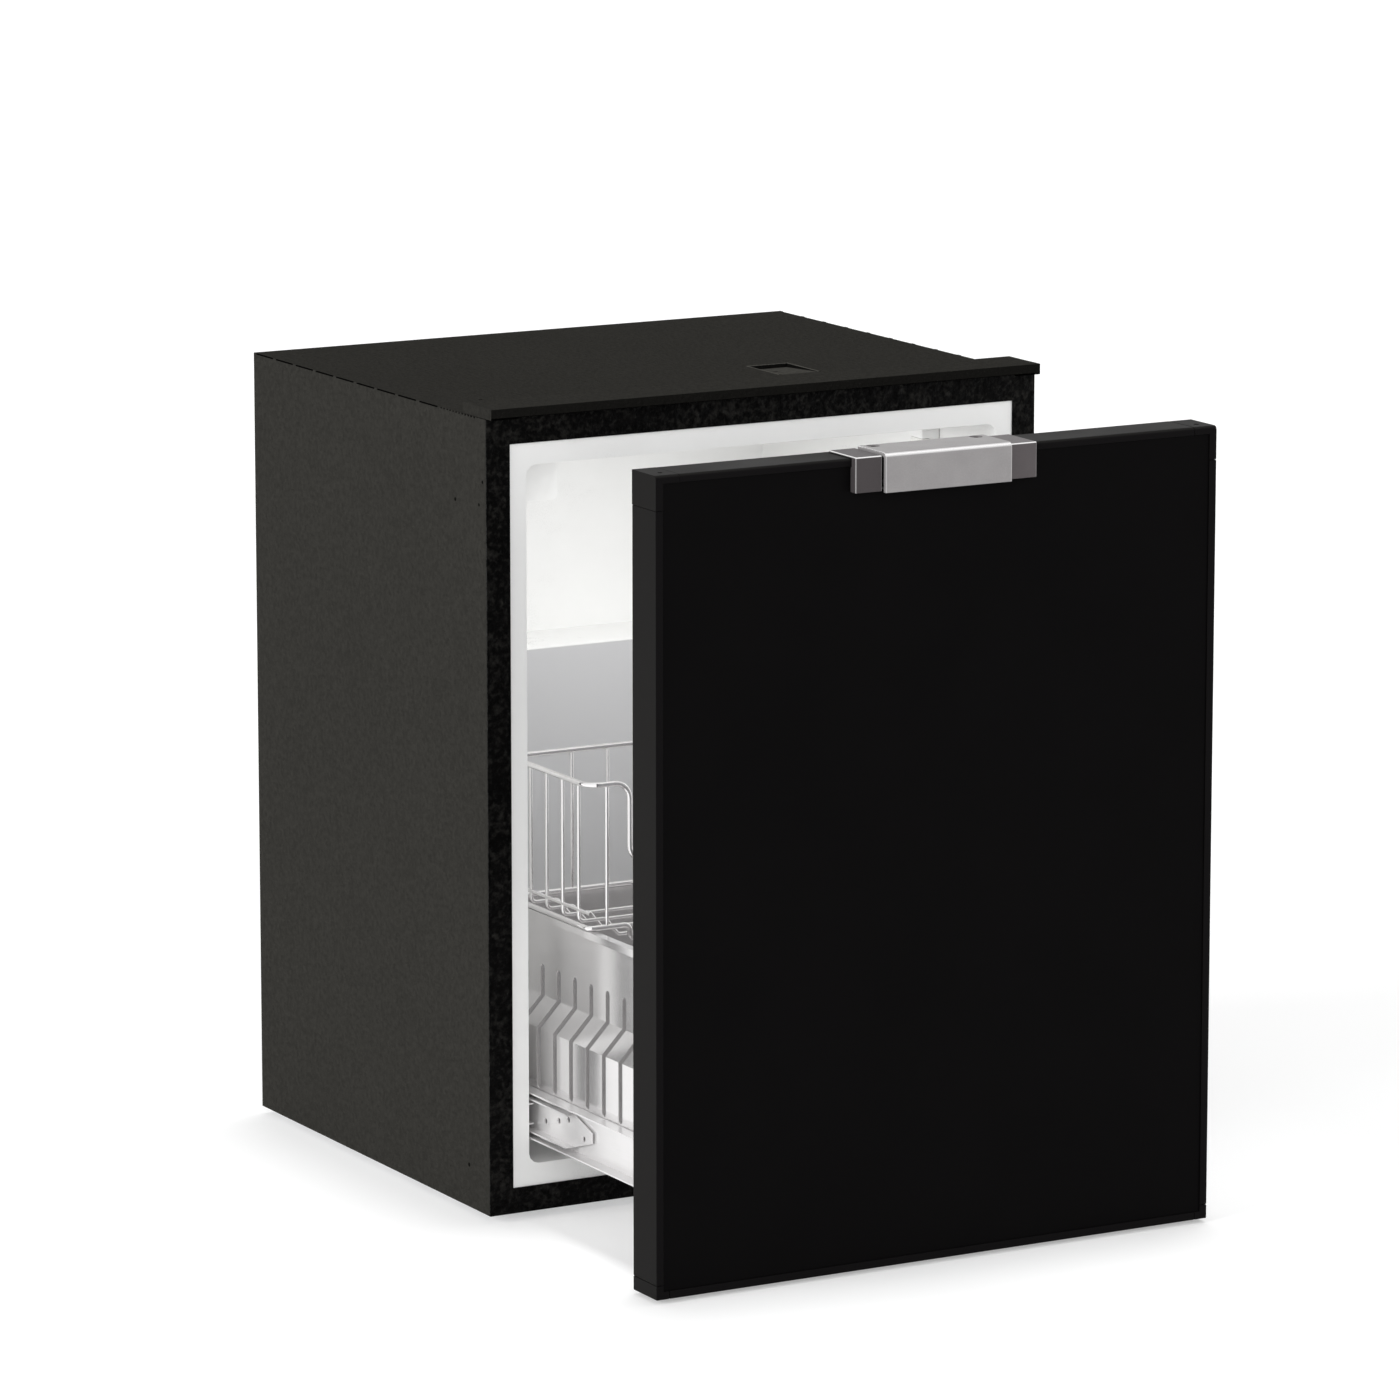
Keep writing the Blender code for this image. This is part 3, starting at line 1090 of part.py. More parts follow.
def make_end_caps(drawer, nickel):
    """The two dark caps beside the lever, bent over the door's top front edge."""
    low, step = END_CAP_LOW, DOOR_HIGH - DOOR_FRONT_LIP - GAP
    front, lip_front = DOOR_FRONT - END_CAP_REACH, DOOR_FRONT - GAP
    back, top = DOOR_BACK - END_CAP_BACK, DOOR_HIGH + GAP + END_CAP_TOP
    outline = [(front, low), (front, top), (back, top), (back, DOOR_HIGH + GAP),
               (lip_front, DOOR_HIGH + GAP), (lip_front, step), (PANEL_FRONT - GAP, step),
               (PANEL_FRONT - GAP, low)]
    outline = rounded(outline, [0, END_CAP_TOP, 0, 0, 0, 0, 0, 0], 3)
    for hand, side in ((-1, "left"), (1, "right")):
        inner = HANDLE_HALF + END_CAP_GAP
        near, far = sorted((hand * inner, hand * (inner + END_CAP_WIDTH)))
        keep(slab(f"handle_end_cap_{side}", [outline], near, far, "X"), drawer, nickel)


def make_pin_and_spring(drawer, steel):
    """The lever's pin, and the torsion spring round its middle."""
    reach = HANDLE_HALF - GAP
    pin = rod("lever_pin", (-reach, PIVOT_Y, PIVOT_HEIGHT), (reach, PIVOT_Y, PIVOT_HEIGHT), PIN_RADIUS, 16)
    keep(pin, drawer, steel)
    steps = 10
    turns = SPRING_TURNS + 0.25
    count = round(turns * steps)
    path = [(-SPRING_WIDTH / 2, PIVOT_Y - SPRING_LEG, PIVOT_HEIGHT - SPRING_RADIUS)]
    for index in range(count + 1):
        angle = -math.pi / 2 + 2 * math.pi * turns * index / count
        path.append((SPRING_WIDTH * (index / count - 0.5), PIVOT_Y + SPRING_RADIUS * math.cos(angle),
                     PIVOT_HEIGHT + SPRING_RADIUS * math.sin(angle)))
    path.append((SPRING_WIDTH / 2, PIVOT_Y + SPRING_RADIUS, ROCKER_LOW - 3 * SPRING_WIRE))
    keep(wire("lever_spring", path, SPRING_WIRE), drawer, steel)


def make_lever(lever, aluminium, black, steel):
    """The aluminium lever, the rocker under it with two push fingers, and two screws."""
    half, sheet = HANDLE_HALF, LEVER_SHEET
    outline = [(LEVER_FRONT, LEVER_LOW), (LEVER_FRONT, LEVER_TOP), (LEVER_REAR, LEVER_TOP),
               (LEVER_REAR, LEVER_TOP - sheet), (LEVER_FRONT + sheet, LEVER_TOP - sheet),
               (LEVER_FRONT + sheet, LEVER_LOW)]
    outline = rounded(outline, [0, LEVER_ROUND, 0, 0, LEVER_ROUND - sheet, 0], 4)
    plate = slab("latch_lever", [outline], -half, half, "X")
    seat = LEVER_TOP - SCREW_HEAD_HEIGHT - GAP / 3
    screw_y = DOOR_BACK - LEVER_SCREW_Y
    for x in (-LEVER_SCREW_X, LEVER_SCREW_X):
        cut(plate, rod("counterbore", (x, screw_y, seat), (x, screw_y, LEVER_TOP + OVER),
                       LEVER_SCREW_HEAD + GAP, 24),
            rod("screw_hole", (x, screw_y, LEVER_TOP - OVER), (x, screw_y, LEVER_TOP + OVER),
                SCREW_RADIUS + GAP, 12))
    keep(plate, lever, aluminium, PIVOT)
    make_rocker(lever, black, screw_y)
    tip = seat + GAP - LEVER_SCREW_LENGTH
    profile = screw_profile(LEVER_SCREW_HEAD, SCREW_HEAD_HEIGHT - 2 * GAP, SCREW_RADIUS,
                            LEVER_SCREW_LENGTH)
    for x, side in ((-LEVER_SCREW_X, "left"), (LEVER_SCREW_X, "right")):
        screw = turned(f"lever_screw_{side}", profile, (x, screw_y, tip), "Z", 20)
        keep(screw, lever, steel, PIVOT)


def make_rocker(lever, black, screw_y):
    """The rocker: a bridge under the lever, two cheeks on the pin and two fingers."""
    front, back = DOOR_BACK - ROCKER_FRONT, DOOR_BACK - ROCKER_BACK
    bridge = box("bridge", (-ROCKER_HALF, front, ROCKER_LOW), (ROCKER_HALF, back, DOOR_HIGH))
    pieces = [bridge]
    cheek_low = ROCKER_HALF - ROCKER_CHEEK
    for hand in (-1, 1):
        near, far = sorted((hand * cheek_low, hand * ROCKER_HALF))
        pieces.append(box("cheek", (near, PIVOT_Y - BOSS_RADIUS, PIVOT_HEIGHT),
                          (far, PIVOT_Y + BOSS_RADIUS, ROCKER_LOW + OVER / 4)))
        pieces.append(rod("boss", (near, PIVOT_Y, PIVOT_HEIGHT), (far, PIVOT_Y, PIVOT_HEIGHT),
                          BOSS_RADIUS, 20))
        near, far = sorted((hand * FINGER_INNER, hand * (FINGER_INNER + FINGER_WIDTH)))
        pieces.append(box("finger", (near, back - OVER / 4, ROCKER_LOW),
                          (far, -FINGER_TIP_ROOM, FINGER_TOP)))
    rocker = weld("latch_rocker", pieces)
    cut(rocker, rod("pin_hole", (-HALF_WIDTH, PIVOT_Y, PIVOT_HEIGHT), (HALF_WIDTH, PIVOT_Y, PIVOT_HEIGHT),
                    PIN_RADIUS + GAP, 16))
    for x in (-LEVER_SCREW_X, LEVER_SCREW_X):
        cut(rocker, rod("screw_hole", (x, screw_y, LEVER_TOP - LEVER_SCREW_LENGTH - 2 * SCREW_HEAD_HEIGHT),
                        (x, screw_y, LEVER_TOP + OVER), SCREW_RADIUS + GAP, 12))
    keep(rocker, lever, black, PIVOT)


def make_compressor(root, black, copper):
    """The sealed compressor on its feet, and its pipe to the evaporator."""
    x, y = COMPRESSOR_X, COMPRESSOR_Y
    high, radius = COMPRESSOR_HEIGHT, COMPRESSOR_RADIUS
    seam = radius * 1.03
    profile = [(0.0, high), (radius * 0.45, high * 0.985), (radius * 0.8, high * 0.92),
               (radius * 0.97, high * 0.78), (radius, high * 0.62), (radius, high * 0.5),
               (seam, high * 0.49), (seam, high * 0.45),
               (radius, high * 0.44), (radius, high * 0.2), (radius * 0.9, high * 0.08),
               (radius * 0.6, 0.0), (0.0, 0.0)]
    low = BASE_SHEET + GAP + GROMMET_HEIGHT
    can = turned("can", profile, (0.0, 0.0, 0.0), "Z", 20)
    can.data.transform(Matrix.Diagonal((COMPRESSOR_REACH / radius, 1.0, 1.0, 1.0)))
    can.location = (x, y, low + FOOT_PLATE_SHEET / 2)
    plate = box("feet", (x - FOOT_PLATE_HALF, y - radius * 0.75, low),
                (x + FOOT_PLATE_HALF, y + radius * 0.75, low + FOOT_PLATE_SHEET))
    pieces = [can, plate]
    reach, spread = FOOT_PLATE_HALF - GROMMET_RADIUS, radius * 0.75 - GROMMET_RADIUS
    for along in (-1, 1):
        for across in (-1, 1):
            place = (x + along * reach, y + across * spread)
            pieces.append(rod("grommet", (*place, BASE_SHEET + GAP), (*place, low + FOOT_PLATE_SHEET / 2),
                              GROMMET_RADIUS, 8))
    end = x + COMPRESSOR_REACH
    pieces.append(box("terminals", (end - radius / 4, y - radius / 4, low + high * 0.2),
                      (end + radius / 4, y + radius / 4, low + high * 0.55)))
    keep(weld("compressor", pieces), root, black)
    pipe_y = evaporator_pipe_y()
    top = BAY_TOP - PIPE_STUB - GAP
    crown = low + FOOT_PLATE_SHEET / 2 + high
    stub = crown + 5 * PIPE_RADIUS
    path = [(PIPE_REACH, pipe_y, top), (PIPE_REACH, pipe_y, stub), (x, pipe_y, stub),
            (x, pipe_y, crown + GAP)]
    pipe = wire("suction_pipe", rounded(path, 3 * PIPE_RADIUS, 3, closed=False), PIPE_RADIUS)
    keep(pipe, root, copper)


def make_condenser(root, black, copper):
    """The coil on the back with its wires and brackets, and the drier line below it."""
    y, half = COIL_Y, COIL_HALF
    pitch = COIL_HEIGHT / (COIL_RUNS - 1)
    path = []
    for run in range(COIL_RUNS):
        z = COIL_LOW + run * pitch
        path += [(-half, y, z), (half, y, z)] if run % 2 == 0 else [(half, y, z), (-half, y, z)]
    side = -half - COIL_MARGIN
    top = COIL_LOW + COIL_HEIGHT
    end = COMPRESSOR_X - COMPRESSOR_REACH
    path[-1] = (side, y, top)
    path += [(side, y, DISCHARGE_HEIGHT), (side, COMPRESSOR_Y, DISCHARGE_HEIGHT),
             (end - GAP, COMPRESSOR_Y, DISCHARGE_HEIGHT)]
    path[0] = (-half + COIL_MARGIN, y, COIL_LOW)
    coil = wire("coil", rounded(path, pitch * 0.4, 2, closed=False), COIL_PIPE_RADIUS)
    pieces = [coil]
    for index in range(COIL_WIRES):
        x = half * 0.9 * (2 * index / (COIL_WIRES - 1) - 1)
        behind = y + COIL_PIPE_RADIUS
        ends = [(x, behind, COIL_LOW - COIL_MARGIN / 2), (x, behind, top + COIL_MARGIN / 2)]
        pieces.append(wire("rib", ends, COIL_WIRE_RADIUS, resolution=0))
    for x in (-BRACKET_X, BRACKET_X):
        pieces.append(box("bracket", (x, CABINET_DEPTH + GAP, COIL_LOW - COIL_MARGIN),
                          (x + BRACKET_WIDTH, y - COIL_PIPE_RADIUS / 2, top + COIL_PIPE_RADIUS)))
    keep(weld("condenser", pieces), root, black)
    line_y = evaporator_pipe_y()
    drier_top = DRIER_LOW + DRIER_LENGTH
    start = -half + COIL_MARGIN
    drier = rod("drier", (DRIER_X, line_y, DRIER_LOW), (DRIER_X, line_y, drier_top), DRIER_RADIUS, 16)
    feed = [(start, y, COIL_LOW - COIL_PIPE_RADIUS - GAP), (start, y, drier_top + 2 * COIL_MARGIN),
            (start, line_y, drier_top + 2 * COIL_MARGIN), (DRIER_X, line_y, drier_top + COIL_MARGIN),
            (DRIER_X, line_y, drier_top - GAP)]
    thin = [(DRIER_X, line_y, DRIER_LOW + GAP), (DRIER_X, line_y, DRIER_LOW - 2 * COIL_MARGIN),
            (-PIPE_REACH, line_y, DRIER_LOW - 2 * COIL_MARGIN),
            (-PIPE_REACH, line_y, BAY_TOP - PIPE_STUB - GAP)]
    pieces = [drier, wire("feed", rounded(feed, 2 * COIL_PIPE_RADIUS, 2, closed=False), COIL_PIPE_RADIUS),
              wire("thin", rounded(thin, 3 * COIL_PIPE_RADIUS, 2, closed=False), COIL_PIPE_RADIUS / 2)]
    keep(weld("drier_line", pieces), root, copper)


def make_control_box(root, black, grey):
    """The box of electrics in the bay, with the gland that the mains lead comes through."""
    low = BASE_SHEET + GAP
    back = BAY_FRONT + GAP + CONTROL_DEPTH
    case = box("control_box", (CONTROL_LEFT, BAY_FRONT + GAP, low),
               (CONTROL_LEFT + CONTROL_WIDTH, back, low + CONTROL_HEIGHT))
    keep(case, root, black)
    radius, length = GLAND_RADIUS, GLAND_LENGTH
    profile = [(radius * 0.5, length), (radius * 0.75, length), (radius * 0.8, length * 0.3),
               (radius, length * 0.3), (radius, 0.0), (radius * 0.5, 0.0), (radius * 0.5, length)]
    place = (CONTROL_LEFT + CONTROL_WIDTH / 2, back + GAP, low + CONTROL_HEIGHT / 3)
    keep(turned("cable_gland", profile, place, "Y", 16), root, grey)


def main():
    """Build every piece."""
    start_clean()
    root = empty("minibar_root", (0.0, ROOT_Y, FOOT_HEIGHT))
    drawer = empty("drawer_carriage", (0.0, -DRAWER_OPEN, 0.0), root)
    middle = empty("middle_carriage", (0.0, -DRAWER_OPEN * 0.5, 0.0), root)
    inner = empty("inner_cage_carriage", (0.0, -DRAWER_OPEN * 0.25, 0.0), root)
    outer = empty("outer_cage_carriage", (0.0, -DRAWER_OPEN * 0.75, 0.0), root)
    pivot = empty("lever_pivot", PIVOT, drawer)
    knob_axis = empty("knob_axis", KNOB_CENTRE, root)
    paint = material("black_paint", (0.040, 0.040, 0.034), 0.55)
    frame_paint = material("wrinkle_paint", (0.005, 0.005, 0.004), 0.45)
    panel_paint = material("panel_paint", (0.004, 0.004, 0.004), 0.4)
    edge_paint = material("edge_paint", (0.015, 0.015, 0.015), 0.5)
    zinc = material("zinc_sheet", (0.45, 0.46, 0.47), 0.4, 1.0)
    bright = material("bright_steel", (0.62, 0.62, 0.62), 0.25, 1.0)
    nickel = material("dark_nickel", (0.10, 0.09, 0.09), 0.4, 0.6)
    aluminium = material("aluminium", (0.38, 0.36, 0.36), 0.4, 0.7)
    copper = material("copper", (0.65, 0.32, 0.2), 0.35, 1.0)
    white = material("white_plastic", (0.88, 0.88, 0.87), 0.35)
    knob_mat = material("knob_plastic", (0.80, 0.80, 0.79), 0.35)
    grey = material("grey_plastic", (0.5, 0.5, 0.5), 0.5)
    lens = material("lamp_lens", (0.9, 0.9, 0.88), 0.15)
    black = material("black_plastic", (0.01, 0.01, 0.01), 0.5)
    rubber = material("rubber", (0.02, 0.02, 0.02), 0.8)
    foam_mat = material("foam", (0.75, 0.65, 0.42), 0.9)
    make_outer_wrap(root, paint)
    make_front_frame(root, frame_paint)
    make_top_rail(root, paint)
    make_top_pocket(root, paint)
    make_base(root, zinc, rubber)
    make_back(root, zinc)
    make_liner(root, white)
    make_foam(root, foam_mat)
    make_evaporator(root, aluminium)
    make_thermostat(root, knob_axis, white, knob_mat, black)
    make_lamp(root, white, lens)
    for hand, side in ((-1, "left"), (1, "right")):
        make_slide(hand, side, root, middle, inner, outer, drawer, bright)
    make_bin(drawer, bright)
    make_basket(drawer, bright)
    make_door_frame(drawer, edge_paint)
    make_door_filling(drawer, panel_paint, foam_mat, grey, rubber)
    make_brackets(drawer, zinc)
    make_housing(drawer, black)
    make_end_caps(drawer, nickel)
    make_pin_and_spring(drawer, bright)
    make_lever(pivot, aluminium, black, nickel)
    make_compressor(root, black, copper)
    make_condenser(root, black, copper)
    make_control_box(root, black, grey)


main()
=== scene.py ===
"""Looks of a drawer minibar: finishes, fastenings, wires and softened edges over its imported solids.

Lengths are in metres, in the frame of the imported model: x runs across the front, the drawer comes out
towards -y, and the floor is at z = 0.
"""

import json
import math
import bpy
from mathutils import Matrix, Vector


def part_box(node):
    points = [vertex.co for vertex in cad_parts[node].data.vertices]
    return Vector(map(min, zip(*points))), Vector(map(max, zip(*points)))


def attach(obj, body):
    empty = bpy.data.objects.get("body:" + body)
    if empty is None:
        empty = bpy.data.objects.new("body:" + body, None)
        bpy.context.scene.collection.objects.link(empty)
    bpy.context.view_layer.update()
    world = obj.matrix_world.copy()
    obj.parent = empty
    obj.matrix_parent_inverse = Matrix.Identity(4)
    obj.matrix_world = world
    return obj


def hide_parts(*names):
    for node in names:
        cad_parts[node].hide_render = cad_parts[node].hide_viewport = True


bl_info = {
    "name": "Drawer minibar",
    "version": (1, 0, 0),
    "blender": (4, 5, 0),
    "location": "View3D > Sidebar > Minibar",
    "description": "Dresses the solids of a drawer minibar with its finishes, wires and fastenings",
    "category": "Object",
}

import bmesh
import bpy
from bpy.props import FloatProperty, FloatVectorProperty, IntProperty, PointerProperty
from mathutils import Euler, Vector

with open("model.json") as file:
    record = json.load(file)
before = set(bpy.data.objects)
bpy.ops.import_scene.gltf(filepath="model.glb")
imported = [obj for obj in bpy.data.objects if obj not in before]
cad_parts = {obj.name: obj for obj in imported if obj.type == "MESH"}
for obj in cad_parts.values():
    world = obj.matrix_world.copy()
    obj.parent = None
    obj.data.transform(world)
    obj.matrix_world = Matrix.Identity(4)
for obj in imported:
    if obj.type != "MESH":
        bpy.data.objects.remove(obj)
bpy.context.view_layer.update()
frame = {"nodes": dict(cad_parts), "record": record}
BODY_OF = {node: body for body, nodes in frame["record"]["behaviour"]["bodies"].items() for node in nodes}
SLOT_OF = {row["node"]: row["material_slot"] for row in frame["record"]["subparts"]}

SIDES = (("left", -1), ("right", 1))
UP, DOWN, BACK = (0, 0, 1), (0, 0, -1), (0, 1, 0)
WHITE, BLACK = (1.0, 1.0, 1.0), (0.0, 0.0, 0.0)
QUARTER = math.pi / 2

SHARP_TURN = 32.0                   # degrees, from which an edge of a solid is softened
FACE_DEPTH = 0.0003                 # how deep under a face its own colour reaches
HUMP_FACE, HUMP_TOP = 0.20925, 0.3710
HOLE_SHADE_DOTS = ((-0.0330, 0.5404, 0.0016), (-0.0707, 0.5416, 0.0014), (-0.0763, 0.5592, 0.0014),
         (-0.0488, 0.0385, 0.0018))  # y, z and radius of the dark discs painted on the left side as the shade in its screw holes
# Place and reach of the dark ellipse painted on the pocket's floor as the shade in its slot
POCKET_SLOT, POCKET_SLOT_REACH = (0.0112, 0.0247), (0.0035, 0.0013)
STEEL_GRAIN = (2400.0, 60.0, 2400.0)  # cells to the metre across, along and up
BROWNED_COPPER = (0.30, 0.14, 0.08)
# Colour of the highlights painted along the handle's edges
PAINTED_EDGE_HIGHLIGHT = (0.97, 0.96, 0.96)
# Black painted on the foam under the top sheet as the shade seen through the wrap's slots and holes, and how
# deep it reaches
SLOT_SHADE_BLACK = (0.003, 0.003, 0.003)
SLOT_SHADE_DEPTH = 0.0040

PANEL_INSET, PANEL_INSET_UP = 0.012, 0.010
BASE_SCREWS, RAIL_SCREWS, BRACKET_SCREWS = (0.012, 0.190, 0.360), (0.042, 0.137, 0.232), (0.030, 0.056)
RAIL_GAUGE, BRACKET_GAUGE = 0.0013, 0.0020
KNOB_LENGTH = 0.0130
LENS_RIBS, LENS_RIB_RADIUS = 7, 0.0006
SPRING_RADIUS, SPRING_TURNS, SPRING_WIDTH, SPRING_WIRE, SPRING_STEPS = 0.0034, 4.25, 0.0100, 0.00045, 96
COMPRESSOR_PLACE = (-0.0500, 0.29325)
CAN_RADIUS, CAN_STRETCH, CAN_HEIGHT = 0.0500, 1.3, 0.0133
FOOT_PLATE, FOOT_PLATE_WIDTH = 0.0025, 0.075
GROMMET_REACH, GROMMET_SPREAD = 0.0085, 0.0290
GROMMET = ((0.0, 0.0135), (0.0060, 0.0135), (0.0064, 0.0120), (0.0080, 0.0105), (0.0085, 0.0085),
           (0.0070, 0.0068), (0.0085, 0.0050), (0.0085, 0.0010), (0.0078, 0.0), (0.0, 0.0))
COIL_PLACE, COIL_HALF, COIL_TUBE = 0.32215, 0.1700, 0.0024
COIL_BASE, COIL_TOP, COIL_RUNS = 0.386, 0.582, 8
COIL_RETURN, PIPE_LEVEL, PIPE_END = 0.015, 0.096, 0.0653
CAMERA_PLACE = (-2.728867, -4.856211, 1.449652)
CAMERA_TILT, CAMERA_PAN = 0.1929, -0.5104
FLOOR_REACH = 60.0


# Node trees

def arithmetic(operation):
    """A method that joins a signal and another value with a Math node."""
    return lambda self, other: self.graph.maths(operation, self, other)


class Signal:
    """One output of a node, which takes part in ordinary arithmetic."""

    def __init__(self, graph, socket):
        self.graph = graph
        self.socket = socket

    def twin(self, output):
        """Another output of the same node."""
        return Signal(self.graph, self.socket.node.outputs[output])

    __add__, __sub__ = arithmetic("ADD"), arithmetic("SUBTRACT")
    __mul__, __truediv__ = arithmetic("MULTIPLY"), arithmetic("DIVIDE")
    __pow__, __gt__, __lt__ = arithmetic("POWER"), arithmetic("GREATER_THAN"), arithmetic("LESS_THAN")

    def __rsub__(self, other):
        return self.graph.maths("SUBTRACT", other, self)


class Graph:
    """A node tree that is filled node by node."""

    def __init__(self, tree):
        self.tree = tree

    def add(self, kind, inputs=None, settings=None, output=0):
        """Add a node with values or links for its sockets, and its settings."""
        node = self.tree.nodes.new(kind)
        for name, value in (settings or {}).items():
            setattr(node, name, value)
        for name, value in (inputs or {}).items():
            self.feed(node.inputs[name], value)
        return Signal(self, node.outputs[output])

    def feed(self, socket, value):
        """Link a signal, or several, to a socket, or give the socket a plain value."""
        if isinstance(value, Signal):
            value = [value]
        if isinstance(value, list):
            for part in value:
                self.tree.links.new(part.socket, socket)
        elif socket.type == "RGBA" and len(value) == 3:
            socket.default_value = (*value, 1.0)
        else:
            socket.default_value = value

    def maths(self, operation, *values):
        """A Math node on one or two values or signals."""
        return self.add("ShaderNodeMath", dict(enumerate(values)), {"operation": operation})

    def seen(self):
        """1 for what the camera, a reflection or clear plastic shows, and 0 for all other light."""
        camera = self.add("ShaderNodeLightPath", output="Is Camera Ray")
        total = camera + camera.twin("Is Glossy Ray") + camera.twin("Is Transmission Ray")
        total.socket.node.use_clamp = True
        return total


class Finish(Graph):
    """A material of one finish, with patterns that lie on the piece itself."""

    def __init__(self, name, **uniform):
        self.material = bpy.data.materials.new(name)
        self.material.use_nodes = True
        super().__init__(self.material.node_tree)
        self.tree.nodes.clear()
        self.shader = self.tree.nodes.new("ShaderNodeBsdfPrincipled")
        output = self.tree.nodes.new("ShaderNodeOutputMaterial")
        self.tree.links.new(self.shader.outputs["BSDF"], output.inputs["Surface"])
        self.place = self.add("ShaderNodeTexCoord", output="Object")
        for key, value in uniform.items():
            self.put(key.replace("_", " "), value)

    def put(self, name, value):
        """Set or link a socket of the surface."""
        self.feed(next(socket for socket in self.shader.inputs if socket.name.lower() == name.lower()), value)

    def noise(self, scale, detail=2.0, rough=0.5, along=None):
        """Soft noise; scale is in cells to the metre."""
        return self.add("ShaderNodeTexNoise", {"Vector": along or self.place, "Scale": scale,
                                               "Detail": detail, "Roughness": rough})

    def cells(self, scale, feature="F1", output="Distance"):
        """A pattern of cells; scale is in cells to the metre."""
        return self.add("ShaderNodeTexVoronoi", {"Vector": self.place, "Scale": scale},
                        {"feature": feature}, output)

    def spread(self, value, low, high, first=0.0, last=1.0):
        """The value taken from low..high to first..last, held at the ends."""
        return self.add("ShaderNodeMapRange", {"Value": value, "From Min": low, "From Max": high,
                                               "To Min": first, "To Max": last})

    def fade(self, value, low, high):
        """1 up to low, falling to 0 at high."""
        return self.spread(value, low, high, 1.0, 0.0)

    def mixed(self, factor, first, second):
        """A colour between two colours."""
        return self.add("ShaderNodeMix", {0: factor, 6: first, 7: second}, {"data_type": "RGBA"}, 2)

    def tones(self, factor, colour, dark, light):
        """A colour between two scaled versions of itself."""
        return self.mixed(factor, scaled(colour, dark), scaled(colour, light))

    def axes(self):
        """The three coordinates on the piece."""
        across = self.add("ShaderNodeSeparateXYZ", {"Vector": self.place}, output="X")
        return across, across.twin("Y"), across.twin("Z")

    def coat(self, skin, roughness, height, distance, strength):
        """Set colour, roughness and relief, where a height of 1 is one distance; gives the material."""
        self.put("Base Color", skin)
        self.put("Roughness", roughness)
        self.put("Normal", self.add("ShaderNodeBump", {"Height": height, "Distance": distance,
                                                       "Strength": strength}, output="Normal"))
        return self.material


# Finishes

def scaled(colour, amount):
    """A lighter or darker version of a colour."""
    return tuple(min(1.0, part * amount) for part in colour[:3])


def textured_paint(name, colour, hole_shade_dots=(), skin=None, strip=None, dish=None):
    """Powder paint with an orange-peel texture and painted glints on its specks.

    hole_shade_dots are dark discs painted on the left side as the shade in its screw holes; skin is (half
    width, top), above which the top face gets a painted shade and inside which the cut faces of slots and
    holes are painted near black as their shade; strip is a rail's box, whose front face gets a painted shade
    and a painted shadow along its foot; dish is a pocket's box, whose floor gets a painted shade towards its
    walls and in its slot, and whose rim gets a painted highlight.
    """
    finish = Finish(name, specular_ior_level=0.0)
    across, along, up = finish.axes()
    grain, peel = finish.noise(900.0, 2.0, 0.6), finish.noise(300.0, 3.0, 0.55)
    tone = grain * 0.2 + peel * 0.7 + finish.noise(6.0, 2.0, 0.5) * 0.1
    # Lighter specks painted as glints on the paint's bumps: painted highlight
    painted_glint = finish.fade(finish.cells(520.0), 0.0, 0.16)
    paint = finish.tones(finish.spread(tone, 0.38, 0.64), colour, 0.82, 1.14)
    paint = finish.mixed(painted_glint * 0.6, paint, scaled(colour, 2.0))
    # Dark discs painted where the left side has screw holes: painted shade of the holes
    for y, z, radius in hole_shade_dots:
        hole_shade = finish.fade(((along - y) ** 2 + (up - z) ** 2) ** 0.5, radius * 0.8, radius)
        paint = finish.mixed(hole_shade * (across < 0.0), paint, scaled(colour, 0.12))
    if skin:
        half, top = (place - FACE_DEPTH for place in skin)
        inside = (finish.maths("ABSOLUTE", across) < half) * (up < top)
        # The top face is painted darker than the sides, a painted shade, and the cut faces of slots, holes
        # and stitches inside the sheet are painted near black, a painted shade
        paint = finish.mixed((up > top) * 0.24, paint, scaled(colour, 0.1))
        paint = finish.mixed(inside, paint, scaled(colour, 0.08))
    if strip:
        # The rail's front face is painted darker, a painted shade, with a near-black band along its foot as a
        # painted shadow under the rail
        face = along < strip[0].y + FACE_DEPTH
        paint = finish.mixed(face, paint, scaled(colour, 0.30))
        paint = finish.mixed(face * (up < strip[0].z + 0.0015), paint, scaled(colour, 0.02))
    if dish:
        low, high = dish
        # Pocket: painted shade on the floor towards its walls, a painted highlight on its rim and a dark
        # ellipse painted as the shade in its slot
        near = finish.maths("MINIMUM", across - low.x, high.x - across)
        near = finish.maths("MINIMUM", near, high.y - along)
        painted_rim_highlight = (up > high.z - 0.0004) * (along > low.y + 0.0015) * (near < 0.0013)
        paint = finish.mixed(finish.spread(near, 0.0012, 0.0030), scaled(colour, 0.12), paint)
        paint = finish.mixed(painted_rim_highlight, paint, scaled(colour, 1.5))
        away = (((across - (low.x + POCKET_SLOT[0])) / POCKET_SLOT_REACH[0]) ** 2
                + ((along - (low.y + POCKET_SLOT[1])) / POCKET_SLOT_REACH[1]) ** 2)
        paint = finish.mixed(finish.fade(away, 0.8, 1.3), paint, scaled(colour, 0.1))
    return finish.coat(paint, finish.spread(grain, 0.3, 0.7, 0.48, 0.66), peel + grain * 0.12, 0.0020, 1.0)


